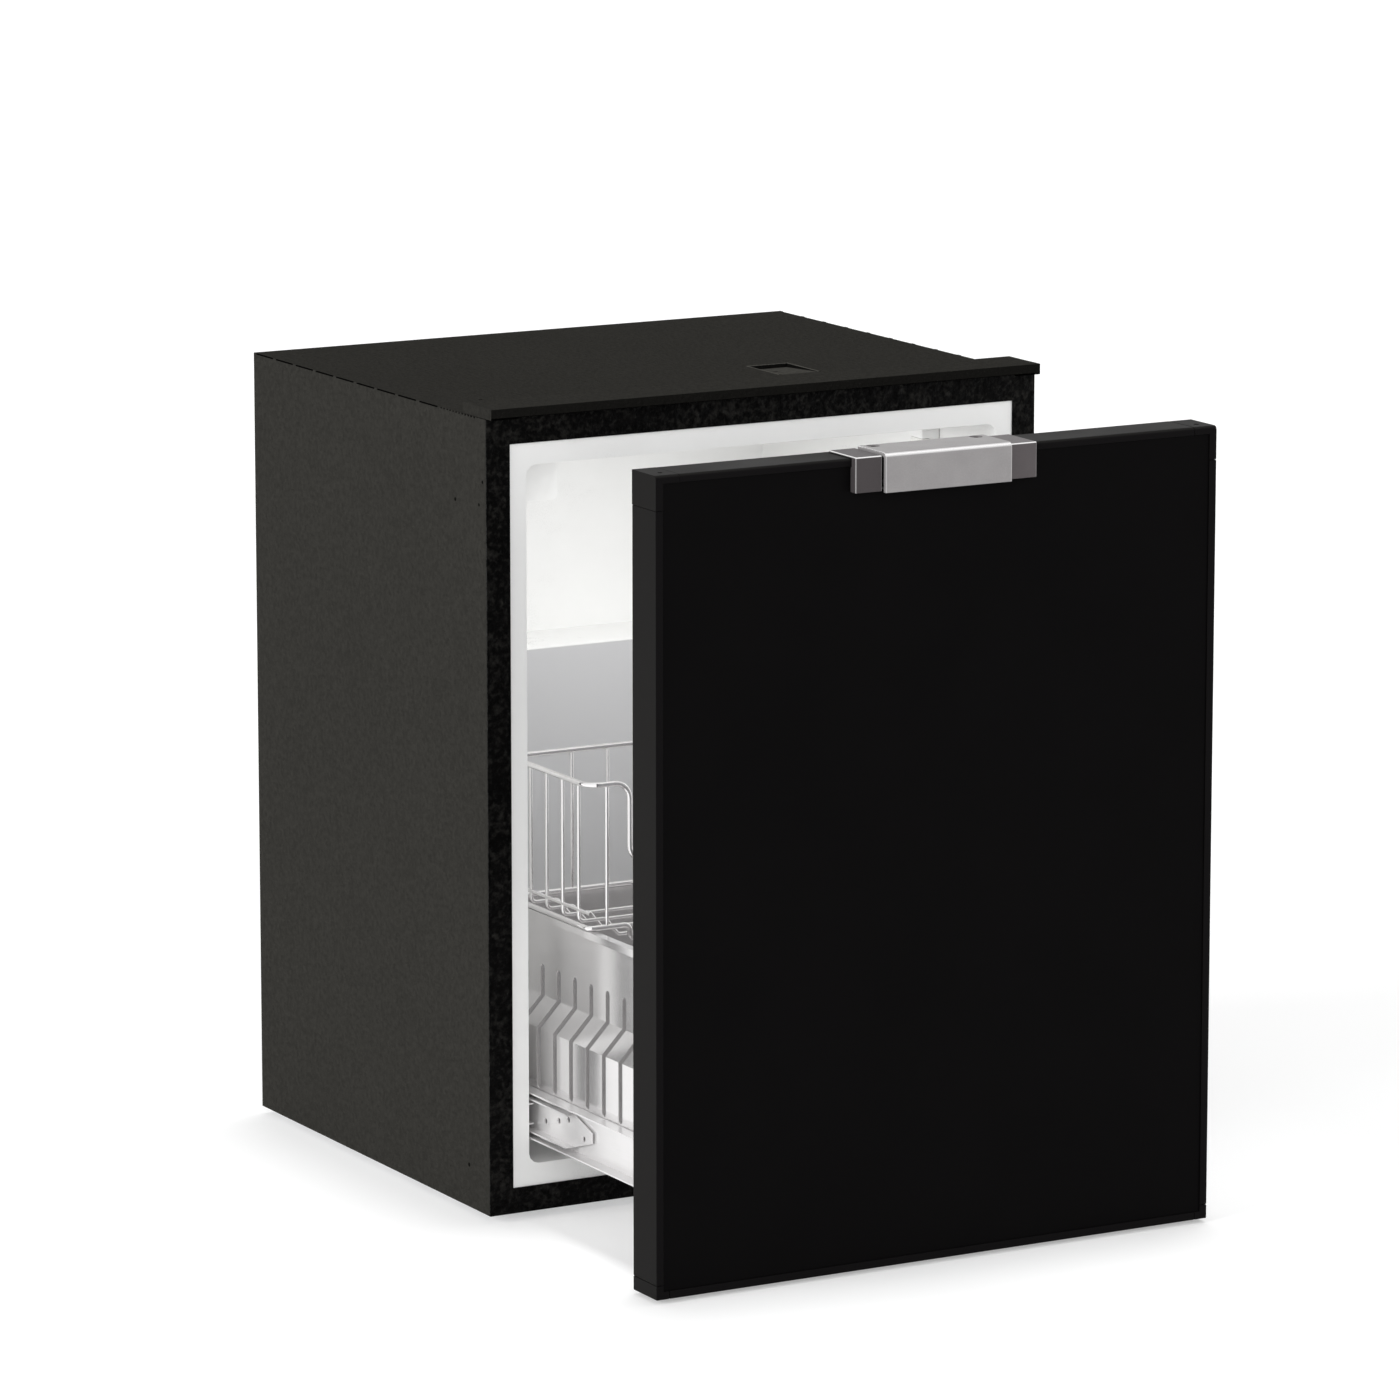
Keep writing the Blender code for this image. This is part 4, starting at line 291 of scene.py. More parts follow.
def hammered_paint(name, colour):
    """Thick black paint with a coarse hammered skin and pale patches painted as the glints of its lumps."""
    finish = Finish(name, specular_ior_level=0.04)
    warp = finish.noise(240.0, 3.0, 0.55)
    height = finish.cells(150.0, "SMOOTH_F1") * 0.8 + warp + finish.noise(900.0, 2.0, 0.6) * 0.1
    # Pale patches painted over the lumps as their glints: painted highlight
    painted_lump_glints = finish.noise(250.0, 2.0, 0.6) * 0.7 + finish.noise(40.0, 2.0, 0.5) * 0.3
    return finish.coat(finish.tones(finish.spread(painted_lump_glints, 0.49, 0.70), colour, 0.7, 13.0),
                       finish.spread(warp, 0.3, 0.7, 0.34, 0.52), height, 0.0022, 0.9)


def plain_paint(name, colour, level, roughness, front=None):
    """Smooth dull paint with the odd speck; front is (y, colour): the faces in front of y get that colour as
    a painted shade.
    """
    finish = Finish(name, specular_ior_level=level)
    cloud, grain = finish.noise(14.0, 3.0, 0.55), finish.noise(1500.0, 2.0, 0.6)
    speck = finish.fade(finish.cells(190.0), 0.0, 0.045)
    skin = finish.tones(finish.spread(cloud, 0.35, 0.65), colour, 0.94, 1.06)
    skin = finish.mixed(speck * 0.25, skin, scaled(colour, 2.0))
    if front:
        # Front faces painted darker than the rest: painted shade
        face = finish.fade(finish.axes()[1], front[0] + FACE_DEPTH, front[0] + FACE_DEPTH + 0.0005)
        skin = finish.mixed(face, skin, front[1])
    rough = finish.spread(cloud + grain * 0.3, 0.4, 0.85, roughness - 0.05, roughness + 0.06)
    return finish.coat(skin, rough, grain + cloud * 2.0, 0.00006, 0.5)


def zinc_sheet(name, colour):
    """Zinc-coated sheet with a soft spangle."""
    finish = Finish(name, metallic=1.0)
    shade = finish.add("ShaderNodeSeparateColor", {0: finish.cells(95.0, output="Color")})
    grain = finish.noise(700.0, 3.0, 0.6)
    return finish.coat(finish.tones(finish.spread(shade * 0.6 + grain * 0.5, 0.15, 0.95), colour, 0.78, 1.12),
                       finish.spread(shade + grain * 0.4, 0.1, 1.2, 0.46, 0.60),
                       grain * 0.4 + shade * 0.3, 0.00012, 0.4)


def drawn_steel(name, colour, low, high, metallic=1.0):
    """Bright steel with fine lines along its length, and soft smudges."""
    finish = Finish(name, metallic=metallic)
    drawn = finish.add("ShaderNodeVectorMath", {0: finish.place, 1: STEEL_GRAIN}, {"operation": "MULTIPLY"})
    lines, smudge = finish.noise(1.0, 2.0, 0.5, drawn), finish.noise(16.0, 3.0, 0.5)
    tone = finish.spread(lines * 0.35 + smudge * 0.65, 0.35, 0.65)
    rough = finish.spread(lines * 0.3 + smudge * 0.7, 0.35, 0.65, low, high)
    return finish.coat(finish.tones(tone, colour, 0.95, 1.03), rough, smudge, 0.00006, 0.1)


def blasted_metal(name, colour, metallic, roughness, edges=()):
    """Finely blasted metal with highlights painted along its edges, each ((axis, place), (axis, place),
    reach, share).
    """
    finish = Finish(name, specular_ior_level=0.04)
    grain, cloud = finish.noise(2600.0, 3.0, 0.65), finish.noise(60.0, 2.0, 0.5)
    skin = finish.tones(finish.spread(grain * 0.7 + cloud * 0.3, 0.35, 0.65), colour, 0.9, 1.1)
    places, bright = finish.axes(), 0.0
    # Near each chosen edge the metal is painted lighter, more metallic and smoother: painted highlight
    for first, second, reach, share in edges:
        away = ((places[first[0]] - first[1]) ** 2 + (places[second[0]] - second[1]) ** 2) ** 0.5
        bright = finish.maths("MAXIMUM", bright, finish.spread(away, reach * 0.6, reach, share, 0.0))
    if edges:
        skin = finish.mixed(bright, skin, PAINTED_EDGE_HIGHLIGHT)
        metallic = finish.spread(bright, 0.0, 1.0, metallic, 0.9)
        rough = finish.spread(grain * 0.25 - bright, -1.0, 0.2, 0.2, roughness)
    else:
        rough = finish.spread(grain, 0.3, 0.7, roughness - 0.05, roughness + 0.06)
    finish.put("Metallic", metallic)
    return finish.coat(skin, rough, grain, 0.00008, 0.4)


def tube_copper(name, colour):
    """Copper tube, browned in places."""
    finish = Finish(name, metallic=1.0)
    brown = finish.spread(finish.noise(85.0, 4.0, 0.65), 0.42, 0.66)
    return finish.coat(finish.mixed(brown, colour, BROWNED_COPPER), finish.spread(brown, 0.0, 1.0, 0.24, 0.5),
                       finish.noise(420.0, 3.0, 0.6), 0.0001, 0.4)


def moulded_plastic(name, colour, roughness, level=0.5, hump=None):
    """Moulded plastic with a slight swirl; hump is a darker grey for the front face of the liner's hump."""
    finish = Finish(name, specular_ior_level=level)
    swirl, grain = finish.noise(9.0, 4.0, 0.6), finish.noise(1100.0, 2.0, 0.5)
    skin = finish.tones(finish.spread(swirl, 0.35, 0.68), colour, 0.975, 1.012)
    if hump is not None:
        along, up = finish.axes()[1:]
        face = finish.spread(along, HUMP_FACE - 0.0012, HUMP_FACE - 0.0006)
        skin = finish.mixed(face * finish.fade(up, HUMP_TOP - 0.0012, HUMP_TOP - 0.0006), skin, hump)
    return finish.coat(skin, finish.spread(swirl + grain * 0.4, 0.4, 1.0, roughness - 0.05, roughness + 0.07),
                       grain * 0.5 + swirl * 3.0, 0.00007, 0.5)


def rubber_skin(name, colour):
    """Matt rubber with a dusty bloom."""
    finish = Finish(name, specular_ior_level=0.3)
    bloom = finish.noise(160.0, 4.0, 0.65)
    return finish.coat(finish.tones(finish.spread(bloom, 0.4, 0.75), colour, 1.0, 2.2),
                       finish.spread(bloom, 0.3, 0.7, 0.72, 0.88),
                       bloom + finish.noise(900.0, 2.0, 0.5) * 0.3, 0.0002, 0.5)


def blown_foam(name, colour, top):
    """Blown insulation with small cells, painted black under the top sheet as the shade seen through the
    wrap's slots and holes.
    """
    finish = Finish(name, specular_ior_level=0.0)
    cells, cloud = finish.cells(480.0), finish.noise(25.0, 3.0, 0.6)
    skin = finish.tones(finish.spread(cells * 0.7 + cloud * 0.5, 0.2, 0.8), colour, 0.72, 1.12)
    skin = finish.mixed(finish.axes()[2] > top - SLOT_SHADE_DEPTH, skin, SLOT_SHADE_BLACK)
    return finish.coat(skin, 0.92, cells, 0.0006, 0.8)


def milky_lens(name, colour):
    """The lamp's milky lens."""
    finish = Finish(name, specular_ior_level=0.5)
    haze = finish.noise(120.0, 3.0, 0.6)
    return finish.coat(finish.tones(finish.spread(haze, 0.3, 0.7), colour, 0.92, 1.0),
                       finish.spread(haze, 0.3, 0.7, 0.12, 0.24), haze, 0.0001, 0.4)


def handle_highlight_edges(node, fold):
    """The edges of a part of the handle that get painted highlights: its front fold, its left end and its
    front corners.
    """
    low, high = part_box(node)
    return (((1, low.y), (2, high.z), fold, 1.0), ((0, low.x), (2, high.z), 0.0009, 0.9),
            ((0, low.x), (1, low.y), 0.0008, 0.3), ((0, high.x), (1, low.y), 0.0007, 0.2))


FINISH = {}


def mix_finishes(colours):
    """Make a material for each finish of the record, and for the pieces that differ from theirs."""
    def mix(kind, name, *values, **more):
        FINISH[name] = kind(name, *values, **more)

    corner, paint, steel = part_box("outer_wrap")[1], colours.paint, colours.steel
    # The cabinet paint at 0.8, a shaded copy like that of the wrap's top: painted shade
    mix(textured_paint, "black_paint", scaled(paint, 0.8))
    mix(textured_paint, "wrap_paint", paint, HOLE_SHADE_DOTS, (corner.x, corner.z))
    # The pocket's paint is a lighter copy of the cabinet paint: painted light on its floor
    mix(textured_paint, "pocket_paint", scaled(paint, 1.5), dish=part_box("top_pocket"))
    # The rail's paint is the cabinet paint made darker, like the wrap's top: painted shade
    mix(textured_paint, "rail_paint", scaled(paint, 0.8), strip=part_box("top_rail"))
    mix(hammered_paint, "wrinkle_paint", scaled(colours.frame_paint, 0.5))
    mix(plain_paint, "panel_paint", scaled(colours.panel_paint, 0.65), 0.02, 0.42)
    # The door frame's front faces get a darker colour than its sides: painted shade
    mix(plain_paint, "edge_paint", scaled(colours.edge_paint, 0.9), 0.02, 0.46,
        (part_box("door_stile_left")[0].y, scaled(colours.panel_paint, 1.3)))
    mix(zinc_sheet, "zinc_sheet", colours.zinc)
    mix(drawn_steel, "bright_steel", steel, 0.16, 0.30)
    mix(drawn_steel, "brushed_sheet", scaled(steel, 1.06), 0.14, 0.19, 0.74)
    mix(drawn_steel, "slide_sheet", scaled(steel, 1.06), 0.20, 0.26, 0.42)
    mix(drawn_steel, "chromed_wire", scaled(steel, 1.20), 0.07, 0.16)
    mix(blasted_metal, "dark_nickel", colours.nickel, 0.2, 0.38)
    mix(blasted_metal, "aluminium", scaled(colours.aluminium, 0.9), 0.35, 0.36)
    # The right end cap is lighter than the left one, lit and shaded copies of one nickel: painted light
    for node, colour, metallic, fold in (("latch_lever", scaled(colours.aluminium, 0.9), 0.1, 0.0028),
                                         ("handle_end_cap_left", scaled(colours.nickel, 0.85), 0.0, 0.0010),
                                         ("handle_end_cap_right", scaled(colours.nickel, 1.3), 0.0, 0.0010)):
        FINISH[node] = blasted_metal(node + "_metal", colour, metallic, 0.36, handle_highlight_edges(node, fold))
    mix(tube_copper, "copper", colours.copper)
    mix(moulded_plastic, "white_plastic", colours.liner, 0.32)
    mix(moulded_plastic, "liner_plastic", colours.liner, 0.30, hump=colours.hump)
    mix(moulded_plastic, "knob_plastic", scaled(colours.liner, 0.9), 0.30)
    mix(moulded_plastic, "grey_plastic", (0.42, 0.42, 0.43), 0.48)
    mix(moulded_plastic, "black_plastic", (0.012, 0.012, 0.012), 0.45, 0.35)
    mix(milky_lens, "lamp_lens", (0.90, 0.90, 0.87))
    mix(rubber_skin, "rubber", (0.018, 0.018, 0.018))
    mix(blown_foam, "foam", (0.66, 0.62, 0.50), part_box("cabinet_foam")[1].z)


# Pieces

def linked(name, data):
    """A new object in the scene, at the origin."""
    piece = bpy.data.objects.new(name, data)
    bpy.context.scene.collection.objects.link(piece)
    return piece


def meshed(name, shape):
    """The mesh of a shape that is no longer needed."""
    mesh = bpy.data.meshes.new(name)
    shape.to_mesh(mesh)
    shape.free()
    return mesh


def baked(piece):
    """Turn the piece's modifiers into its mesh."""
    bpy.context.view_layer.update()
    graph = bpy.context.evaluated_depsgraph_get()
    mesh = bpy.data.meshes.new_from_object(piece.evaluated_get(graph))
    piece.modifiers.clear()
    mesh.name = piece.name
    piece.data = mesh
    return piece


def shaded(piece, turn=38.0):
    """Smooth shading that breaks at sharp turns."""
    piece.data.shade_smooth()
    piece.data.set_sharp_from_angle(angle=math.radians(turn))
    return piece


def softened(piece, width, segments):
    """Round the piece's edges."""
    bevel = piece.modifiers.new("soft_edges", "BEVEL")
    bevel.width, bevel.segments = width, segments
    bevel.limit_method, bevel.angle_limit = "ANGLE", math.radians(SHARP_TURN)
    bevel.use_clamp_overlap, bevel.miter_outer = True, "MITER_ARC"
    return baked(piece)


def finished(piece, body, finish, stands_for=()):
    """Give the piece its finish and put it on its body."""
    piece.data.materials.clear()
    piece.data.materials.append(FINISH[finish])
    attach(piece, body)
    if stands_for:
        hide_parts(*stands_for)
    return piece


def stand_in(piece, node, finish=None):
    """Let the piece stand for a CAD node, on the node's body and in its slot."""
    return finished(piece, BODY_OF[node], finish or SLOT_OF[node], (node,))


def clean_copy(node):
    """A closed mesh of a CAD node, with its flat faces whole again."""
    shape = bmesh.new()
    shape.from_mesh(frame["nodes"][node].data)
    bmesh.ops.remove_doubles(shape, verts=shape.verts, dist=0.000002)
    bmesh.ops.dissolve_limit(shape, angle_limit=math.radians(0.6), verts=shape.verts, edges=shape.edges)
    shape.verts.index_update()
    corners = [vertex.co.copy() for vertex in shape.verts]
    faces = [[vertex.index for vertex in face.verts] for face in shape.faces]
    shape.free()
    mesh = bpy.data.meshes.new(node)
    mesh.from_pydata(corners, [], faces)
    return mesh


def dressed(node, edge=0.0, finish=None, segments=2):
    """A copy of a CAD node with softened edges, which stands for the node."""
    piece = linked(node + "_shell", clean_copy(node))
    if edge:
        softened(piece, edge, segments)
    shaded(piece)
    piece.modifiers.new("flat_faces", "WEIGHTED_NORMAL").keep_sharp = True
    return stand_in(baked(piece), node, finish)


def painted(node):
    """A CAD node that keeps its own shape and gets its finish."""
    data = frame["nodes"][node].data
    data.materials.clear()
    data.materials.append(FINISH[SLOT_OF[node]])


def span(node):
    """The two corners and the middle of a node's box."""
    low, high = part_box(node)
    return low, high, (low + high) / 2


def evenly(first, last, count):
    """Some values at equal steps, with both ends."""
    return [first + (last - first) * step / (count - 1) for step in range(count)]


# Geometry node trees

TREES = {}


class Recipe(Graph):
    """A geometry tree with named inputs."""

    def __init__(self, name, sizes):
        super().__init__(bpy.data.node_groups.new(name, "GeometryNodeTree"))
        face = self.tree.interface
        face.new_socket("Geometry", in_out="INPUT", socket_type="NodeSocketGeometry")
        kinds = {float: "NodeSocketFloat", int: "NodeSocketInt", tuple: "NodeSocketVector"}
        for label, value in sizes.items():
            face.new_socket(label, in_out="INPUT", socket_type=kinds[type(value)]).default_value = value
        face.new_socket("Finish", in_out="INPUT", socket_type="NodeSocketMaterial")
        face.new_socket("Geometry", in_out="OUTPUT", socket_type="NodeSocketGeometry")
        self.entry = self.tree.nodes.new("NodeGroupInput")
        TREES[name] = self.tree

    def given(self, label):
        """One of the tree's inputs."""
        return Signal(self, self.entry.outputs[label])

    def vector(self, **parts):
        """A vector of its X, Y and Z parts."""
        return self.add("ShaderNodeCombineXYZ", parts)

    def raised(self, mesh, height):
        """The mesh moved up."""
        return self.add("GeometryNodeTransform", {"Geometry": mesh, "Translation": self.vector(Z=height)})

    def block(self, size):
        """A block of a size."""
        return self.add("GeometryNodeMeshCube", {"Size": size}, output="Mesh")

    def end(self, geometry):
        """Make the result real, give it its finish and hand it out."""
        real = self.add("GeometryNodeRealizeInstances", {"Geometry": geometry})
        coated = self.add("GeometryNodeSetMaterial", {"Geometry": real, "Material": self.given("Finish")})
        self.feed(self.tree.nodes.new("NodeGroupOutput").inputs["Geometry"], coated)

    def end_on_points(self, instance, **turn):
        """End with the instance on every point of the given geometry."""
        self.end(self.add("GeometryNodeInstanceOnPoints",
                          {"Points": self.given("Geometry"), "Instance": instance, **turn}))


def plan_bent_wire():
    """Round wire along the edges of a mesh, with its corners bent on an arc."""
    tree = Recipe("bent_wire", {"Wire radius": 0.002, "Bend radius": 0.006, "Bend steps": 6, "Sides": 12})
    line = tree.add("GeometryNodeMeshToCurve", {"Mesh": tree.given("Geometry")})
    bent = tree.add("GeometryNodeFilletCurve", {"Curve": line, "Count": tree.given("Bend steps"),
                                                "Radius": tree.given("Bend radius"), "Limit Radius": True},
                    {"mode": "POLY"})
    ring = tree.add("GeometryNodeCurvePrimitiveCircle",
                    {"Resolution": tree.given("Sides"), "Radius": tree.given("Wire radius")})
    solid = tree.add("GeometryNodeCurveToMesh", {"Curve": bent, "Profile Curve": ring, "Fill Caps": True})
    tree.end(tree.add("GeometryNodeSetShadeSmooth", {"Geometry": solid}))


def plan_screws():
    """A crossed screw head on every point, facing the way the point says."""
    tree = Recipe("screws", {"Head radius": 0.0035, "Head height": 0.0018, "Recess": 0.0011})
    radius, height, recess = (tree.given(label) for label in ("Head radius", "Head height", "Recess"))
    skirt = tree.add("GeometryNodeMeshCylinder", {"Vertices": 24, "Radius": radius, "Depth": height * 0.6},
                     output="Mesh")
    crown = tree.add("GeometryNodeMeshCone", {"Vertices": 24, "Radius Top": radius * 0.66,
                                              "Radius Bottom": radius, "Depth": height * 0.4}, output="Mesh")
    whole = tree.add("GeometryNodeMeshBoolean",
                     {"Mesh 2": [tree.raised(skirt, height * 0.3), tree.raised(crown, height * 0.6)]},
                     {"operation": "UNION", "solver": "EXACT"}, "Mesh")
    wide, thin, deep = radius * 1.1, recess * 0.55, height * 1.2
    bars = [tree.raised(tree.block(tree.vector(X=x, Y=y, Z=deep)), height * 1.15)
            for x, y in ((wide, thin), (thin, wide))]
    head = tree.add("GeometryNodeMeshBoolean", {"Mesh 1": whole, "Mesh 2": bars},
                    {"operation": "DIFFERENCE", "solver": "EXACT"}, "Mesh")
    facing = tree.add("GeometryNodeInputNamedAttribute", {"Name": "facing"}, {"data_type": "FLOAT_VECTOR"})
    turn = tree.add("FunctionNodeAlignRotationToVector", {"Vector": facing}, {"axis": "Z"})
    tree.end_on_points(head, Rotation=turn)


def plan_bars():
    """Round bars on every point, all of one length and direction."""
    tree = Recipe("bars", {"Radius": 0.0008, "Length": 0.2, "Sides": 10, "Turn": (0.0, 0.0, 0.0)})
    sides, radius, reach = (tree.given(label) for label in ("Sides", "Radius", "Length"))
    bar = tree.add("GeometryNodeMeshCylinder", {"Vertices": sides, "Radius": radius, "Depth": reach},
                   output="Mesh")
    tree.end_on_points(tree.add("GeometryNodeSetShadeSmooth", {"Geometry": bar}), Rotation=tree.given("Turn"))


def plan_ring_of_ridges():
    """Blocks round a circle, turned to its middle: ridges, ribs or the marks of a dial."""
    tree = Recipe("ring_of_ridges", {"Count": 24, "Ring radius": 0.013, "Width": 0.001, "Height": 0.001,
                                     "Depth": 0.01, "Turn": (0.0, 0.0, 0.0), "Start": 0.0, "Sweep": 6.2832})
    count, radius = tree.given("Count"), tree.given("Ring radius")
    line = tree.add("GeometryNodeMeshLine", {"Count": count, "Offset": (0.0, 0.0, 0.0)}, {"mode": "OFFSET"})
    angle = tree.given("Start") + tree.add("GeometryNodeInputIndex") * (tree.given("Sweep") / count)
    spot = tree.vector(X=tree.maths("COSINE", angle) * radius, Y=tree.maths("SINE", angle) * radius)
    ring = tree.add("GeometryNodeSetPosition", {"Geometry": line, "Position": spot})
    block = tree.block(tree.vector(X=tree.given("Height"), Y=tree.given("Width"), Z=tree.given("Depth")))
    blocks = tree.add("GeometryNodeInstanceOnPoints",
                      {"Points": ring, "Instance": block, "Rotation": tree.vector(Z=angle)})
    real = tree.add("GeometryNodeRealizeInstances", {"Geometry": blocks})
    tree.end_on_points(tree.add("GeometryNodeTransform", {"Geometry": real, "Rotation": tree.given("Turn")}))


def grown(name, tree, mesh, finish, **sizes):
    """A mesh that a geometry tree has worked on, as a plain mesh object."""
    piece = linked(name, mesh)
    change = piece.modifiers.new(tree, "NODES")
    change.node_group = TREES[tree]
    sizes["finish"] = FINISH[finish]
    for item in TREES[tree].interface.items_tree:
        label = item.name.replace(" ", "_").lower()
        if item.in_out == "INPUT" and label in sizes:
            change[item.identifier] = sizes[label]
    return baked(piece)


def wires(name, paths, radius, bend, steps, sides, finish="bright_steel"):
    """Round wire along some lines; each path is (points, closed)."""
    corners, edges = [], []
    for points, closed in paths:
        first = len(corners)
        corners += points
        edges += [(first + step, first + step + 1) for step in range(len(points) - 1)]
        if closed:
            edges.append((len(corners) - 1, first))
    mesh = bpy.data.meshes.new(name + "_lines")
    mesh.from_pydata(corners, edges, [])
    return grown(name, "bent_wire", mesh, finish, wire_radius=radius, bend_radius=bend, bend_steps=steps,
                 sides=sides)


def points_mesh(name, rows):
    """A mesh of loose points; each row is (point, direction that it faces)."""
    mesh = bpy.data.meshes.new(name)
    mesh.from_pydata([row[0] for row in rows], [], [])
    facing = mesh.attributes.new("facing", "FLOAT_VECTOR", "POINT")
    for item, row in zip(facing.data, rows):
        item.vector = row[1]
    return mesh


def ridges(name, centre, finish, **sizes):
    """A ring of ridges round a line along y."""
    return grown(name, "ring_of_ridges", points_mesh(name + "_middle", [(centre, UP)]), finish,
                 turn=(QUARTER, 0.0, 0.0), **sizes)


def screws(name, rows, body="cabinet", head=None):
    """Screw heads at the rows' points, as one piece on a body."""
    radius = head or bpy.context.scene.minibar_sizes.screw_radius
    piece = grown(name, "screws", points_mesh(name, rows), "bright_steel", head_radius=radius,
                  head_height=radius * 0.5, recess=radius * 0.34)
    return finished(shaded(piece, 25.0), body, "bright_steel")


def joined(name, pieces):
    """Several mesh objects as one."""
    shape = bmesh.new()
    for piece in pieces:
        shape.from_mesh(piece.data)
    for piece in pieces:
        bpy.data.objects.remove(piece, do_unlink=True)
    return linked(name, meshed(name, shape))


def block(name, size, centre, width, segments):
    """A block with softened edges."""
    shape = bmesh.new()
    bmesh.ops.create_cube(shape, size=1.0)
    bmesh.ops.scale(shape, vec=size, verts=shape.verts)
    bmesh.ops.translate(shape, vec=centre, verts=shape.verts)
    return softened(linked(name, meshed(name, shape)), width, segments)


def sized(profile, radius, height=1.0):
    """A profile whose radii, and heights, are shares."""
    return [(out * radius, up * height) for out, up in profile]


def lathe(name, profile, centre, axis="Z", steps=40, stretch=1.0):
    """A turned mesh; its (radius, height) points run down its outer side, top to bottom."""
    shape = bmesh.new()
    rings = []
    for radius, height in profile:
        angles = [2 * math.pi * step / steps for step in range(steps)]
        rings.append([shape.verts.new((radius * math.cos(angle) * stretch, radius * math.sin(angle), height))
                      for angle in angles])
    for upper, lower in zip(rings, rings[1:]):
        for step in range(steps):
            following = (step + 1) % steps
            shape.faces.new((upper[step], lower[step], lower[following], upper[following]))
    bmesh.ops.remove_doubles(shape, verts=shape.verts, dist=0.000001)
    bmesh.ops.recalc_face_normals(shape, faces=shape.faces)
    turns = {"Z": (0, 0, 0), "Y": (-QUARTER, 0, 0), "-Y": (QUARTER, 0, 0), "X": (0, QUARTER, 0)}
    bmesh.ops.rotate(shape, verts=shape.verts, matrix=Euler(turns[axis]).to_matrix())
    bmesh.ops.translate(shape, verts=shape.verts, vec=centre)
    return linked(name, meshed(name, shape))


# Settings

def tint(name, note, *default):
    """A colour setting."""
    return FloatVectorProperty(name=name, description=note, subtype="COLOR", default=default,
                               min=0.0, max=1.0)


def length(name, note, default, low, high):
    """A setting of a length."""
    return FloatProperty(name=name, description=note, unit="LENGTH", default=default, min=low, max=high,
                         precision=5)


def level(name, note, default, high=10.0, low=0.0):
    """A setting of a strength."""
    return FloatProperty(name=name, description=note, default=default, min=low, max=high)


class MinibarColours(bpy.types.PropertyGroup):
    """Colours of the finishes, as linear red, green and blue."""

    paint: tint("Paint", "Textured paint of the cabinet", 0.0365, 0.0353, 0.0318)
    frame_paint: tint("Frame paint", "Hammered paint round the opening", 0.0023, 0.0022, 0.0020)
    panel_paint: tint("Panel paint", "Paint of the drawer front", 0.0042, 0.0038, 0.0040)
    edge_paint: tint("Edge paint", "Paint of the door's frame", 0.0118, 0.0112, 0.0108)
    zinc: tint("Zinc", "Zinc-coated sheet", 0.50, 0.51, 0.52)
    steel: tint("Steel", "Bin, basket and slides", 0.76, 0.75, 0.75)
    nickel: tint("Nickel", "Caps beside the lever", 0.078, 0.070, 0.072)
    aluminium: tint("Aluminium", "Lever of the handle", 0.325, 0.313, 0.314)
    copper: tint("Copper", "Pipes of the cooling works", 0.72, 0.36, 0.22)
    liner: tint("Liner", "White plastic of the inside", 0.93, 0.93, 0.92)
    # A darker grey on the front face of the liner's hump
    hump: tint("Hump", "Dull front of the liner's hump", 0.58, 0.58, 0.59)


class MinibarSizes(bpy.types.PropertyGroup):
    """Sizes of the softened edges, wires and fastenings."""

    sheet_edge: length("Sheet edge", "Rounding of folded sheet", 0.00025, 0.0, 0.002)
    frame_edge: length("Frame edge", "Rounding of the door's frame", 0.0006, 0.0, 0.003)
    moulded_edge: length("Moulded edge", "Rounding of plastic mouldings", 0.0012, 0.0, 0.004)
    screw_radius: length("Screw head", "Radius of a screw's head", 0.0034, 0.001, 0.008)
    ring_wire: length("Ring wire", "Radius of the basket's two ring wires", 0.0021, 0.001, 0.004)
    thin_wire: length("Thin wire", "Radius of the basket's other wires", 0.0014, 0.0005, 0.003)
    knob_ridges: IntProperty(name="Knob ridges", description="Ridges round the thermostat's knob",
                             default=30, min=6, max=80)
    coil_wires: IntProperty(name="Coil wires", description="Wires across the condenser", default=38,
                            min=4, max=80)


class MinibarStage(bpy.types.PropertyGroup):
    """Floor, light and camera."""

    floor: tint("Floor", "Colour of the floor", 0.75, 0.75, 0.75)
    floor_glow: level("Floor glow", "Light that the floor shows to the camera", 0.34, 1.0)
    ambient: level("Ambient", "Strength of the even light", 0.34, 2.0)
    key: level("Key", "Strength of the lamp from the left", 1.75)
    fill: level("Fill", "Strength of the lamp from the front", 1.9)
    top: level("Top", "Strength of the lamp overhead", 1.2)
    inside: level("Inside", "Strength of the lamps inside the cabinet", 0.47)
    opening: level("Opening", "Strength of the lamp in the opening", 0.36)
    lens: level("Lens", "Focal length of the camera in millimetres", 192.06, 400.0, 20.0)


# Operators

class MinibarPiece:
    """What every operator of the panel shares."""

    bl_options = {"REGISTER", "UNDO"}

    @property
    def sizes(self):
        """The scene's sizes."""
        return bpy.context.scene.minibar_sizes


class MINIBAR_OT_finishes(MinibarPiece, bpy.types.Operator):
    """Mix the finishes and plan the geometry trees"""

    bl_idname = "minibar.finishes"
    bl_label = "Finishes"

    def execute(self, context):
        mix_finishes(context.scene.minibar_colours)
        for plan in (plan_bent_wire, plan_screws, plan_bars, plan_ring_of_ridges):
            plan()
        return {"FINISHED"}


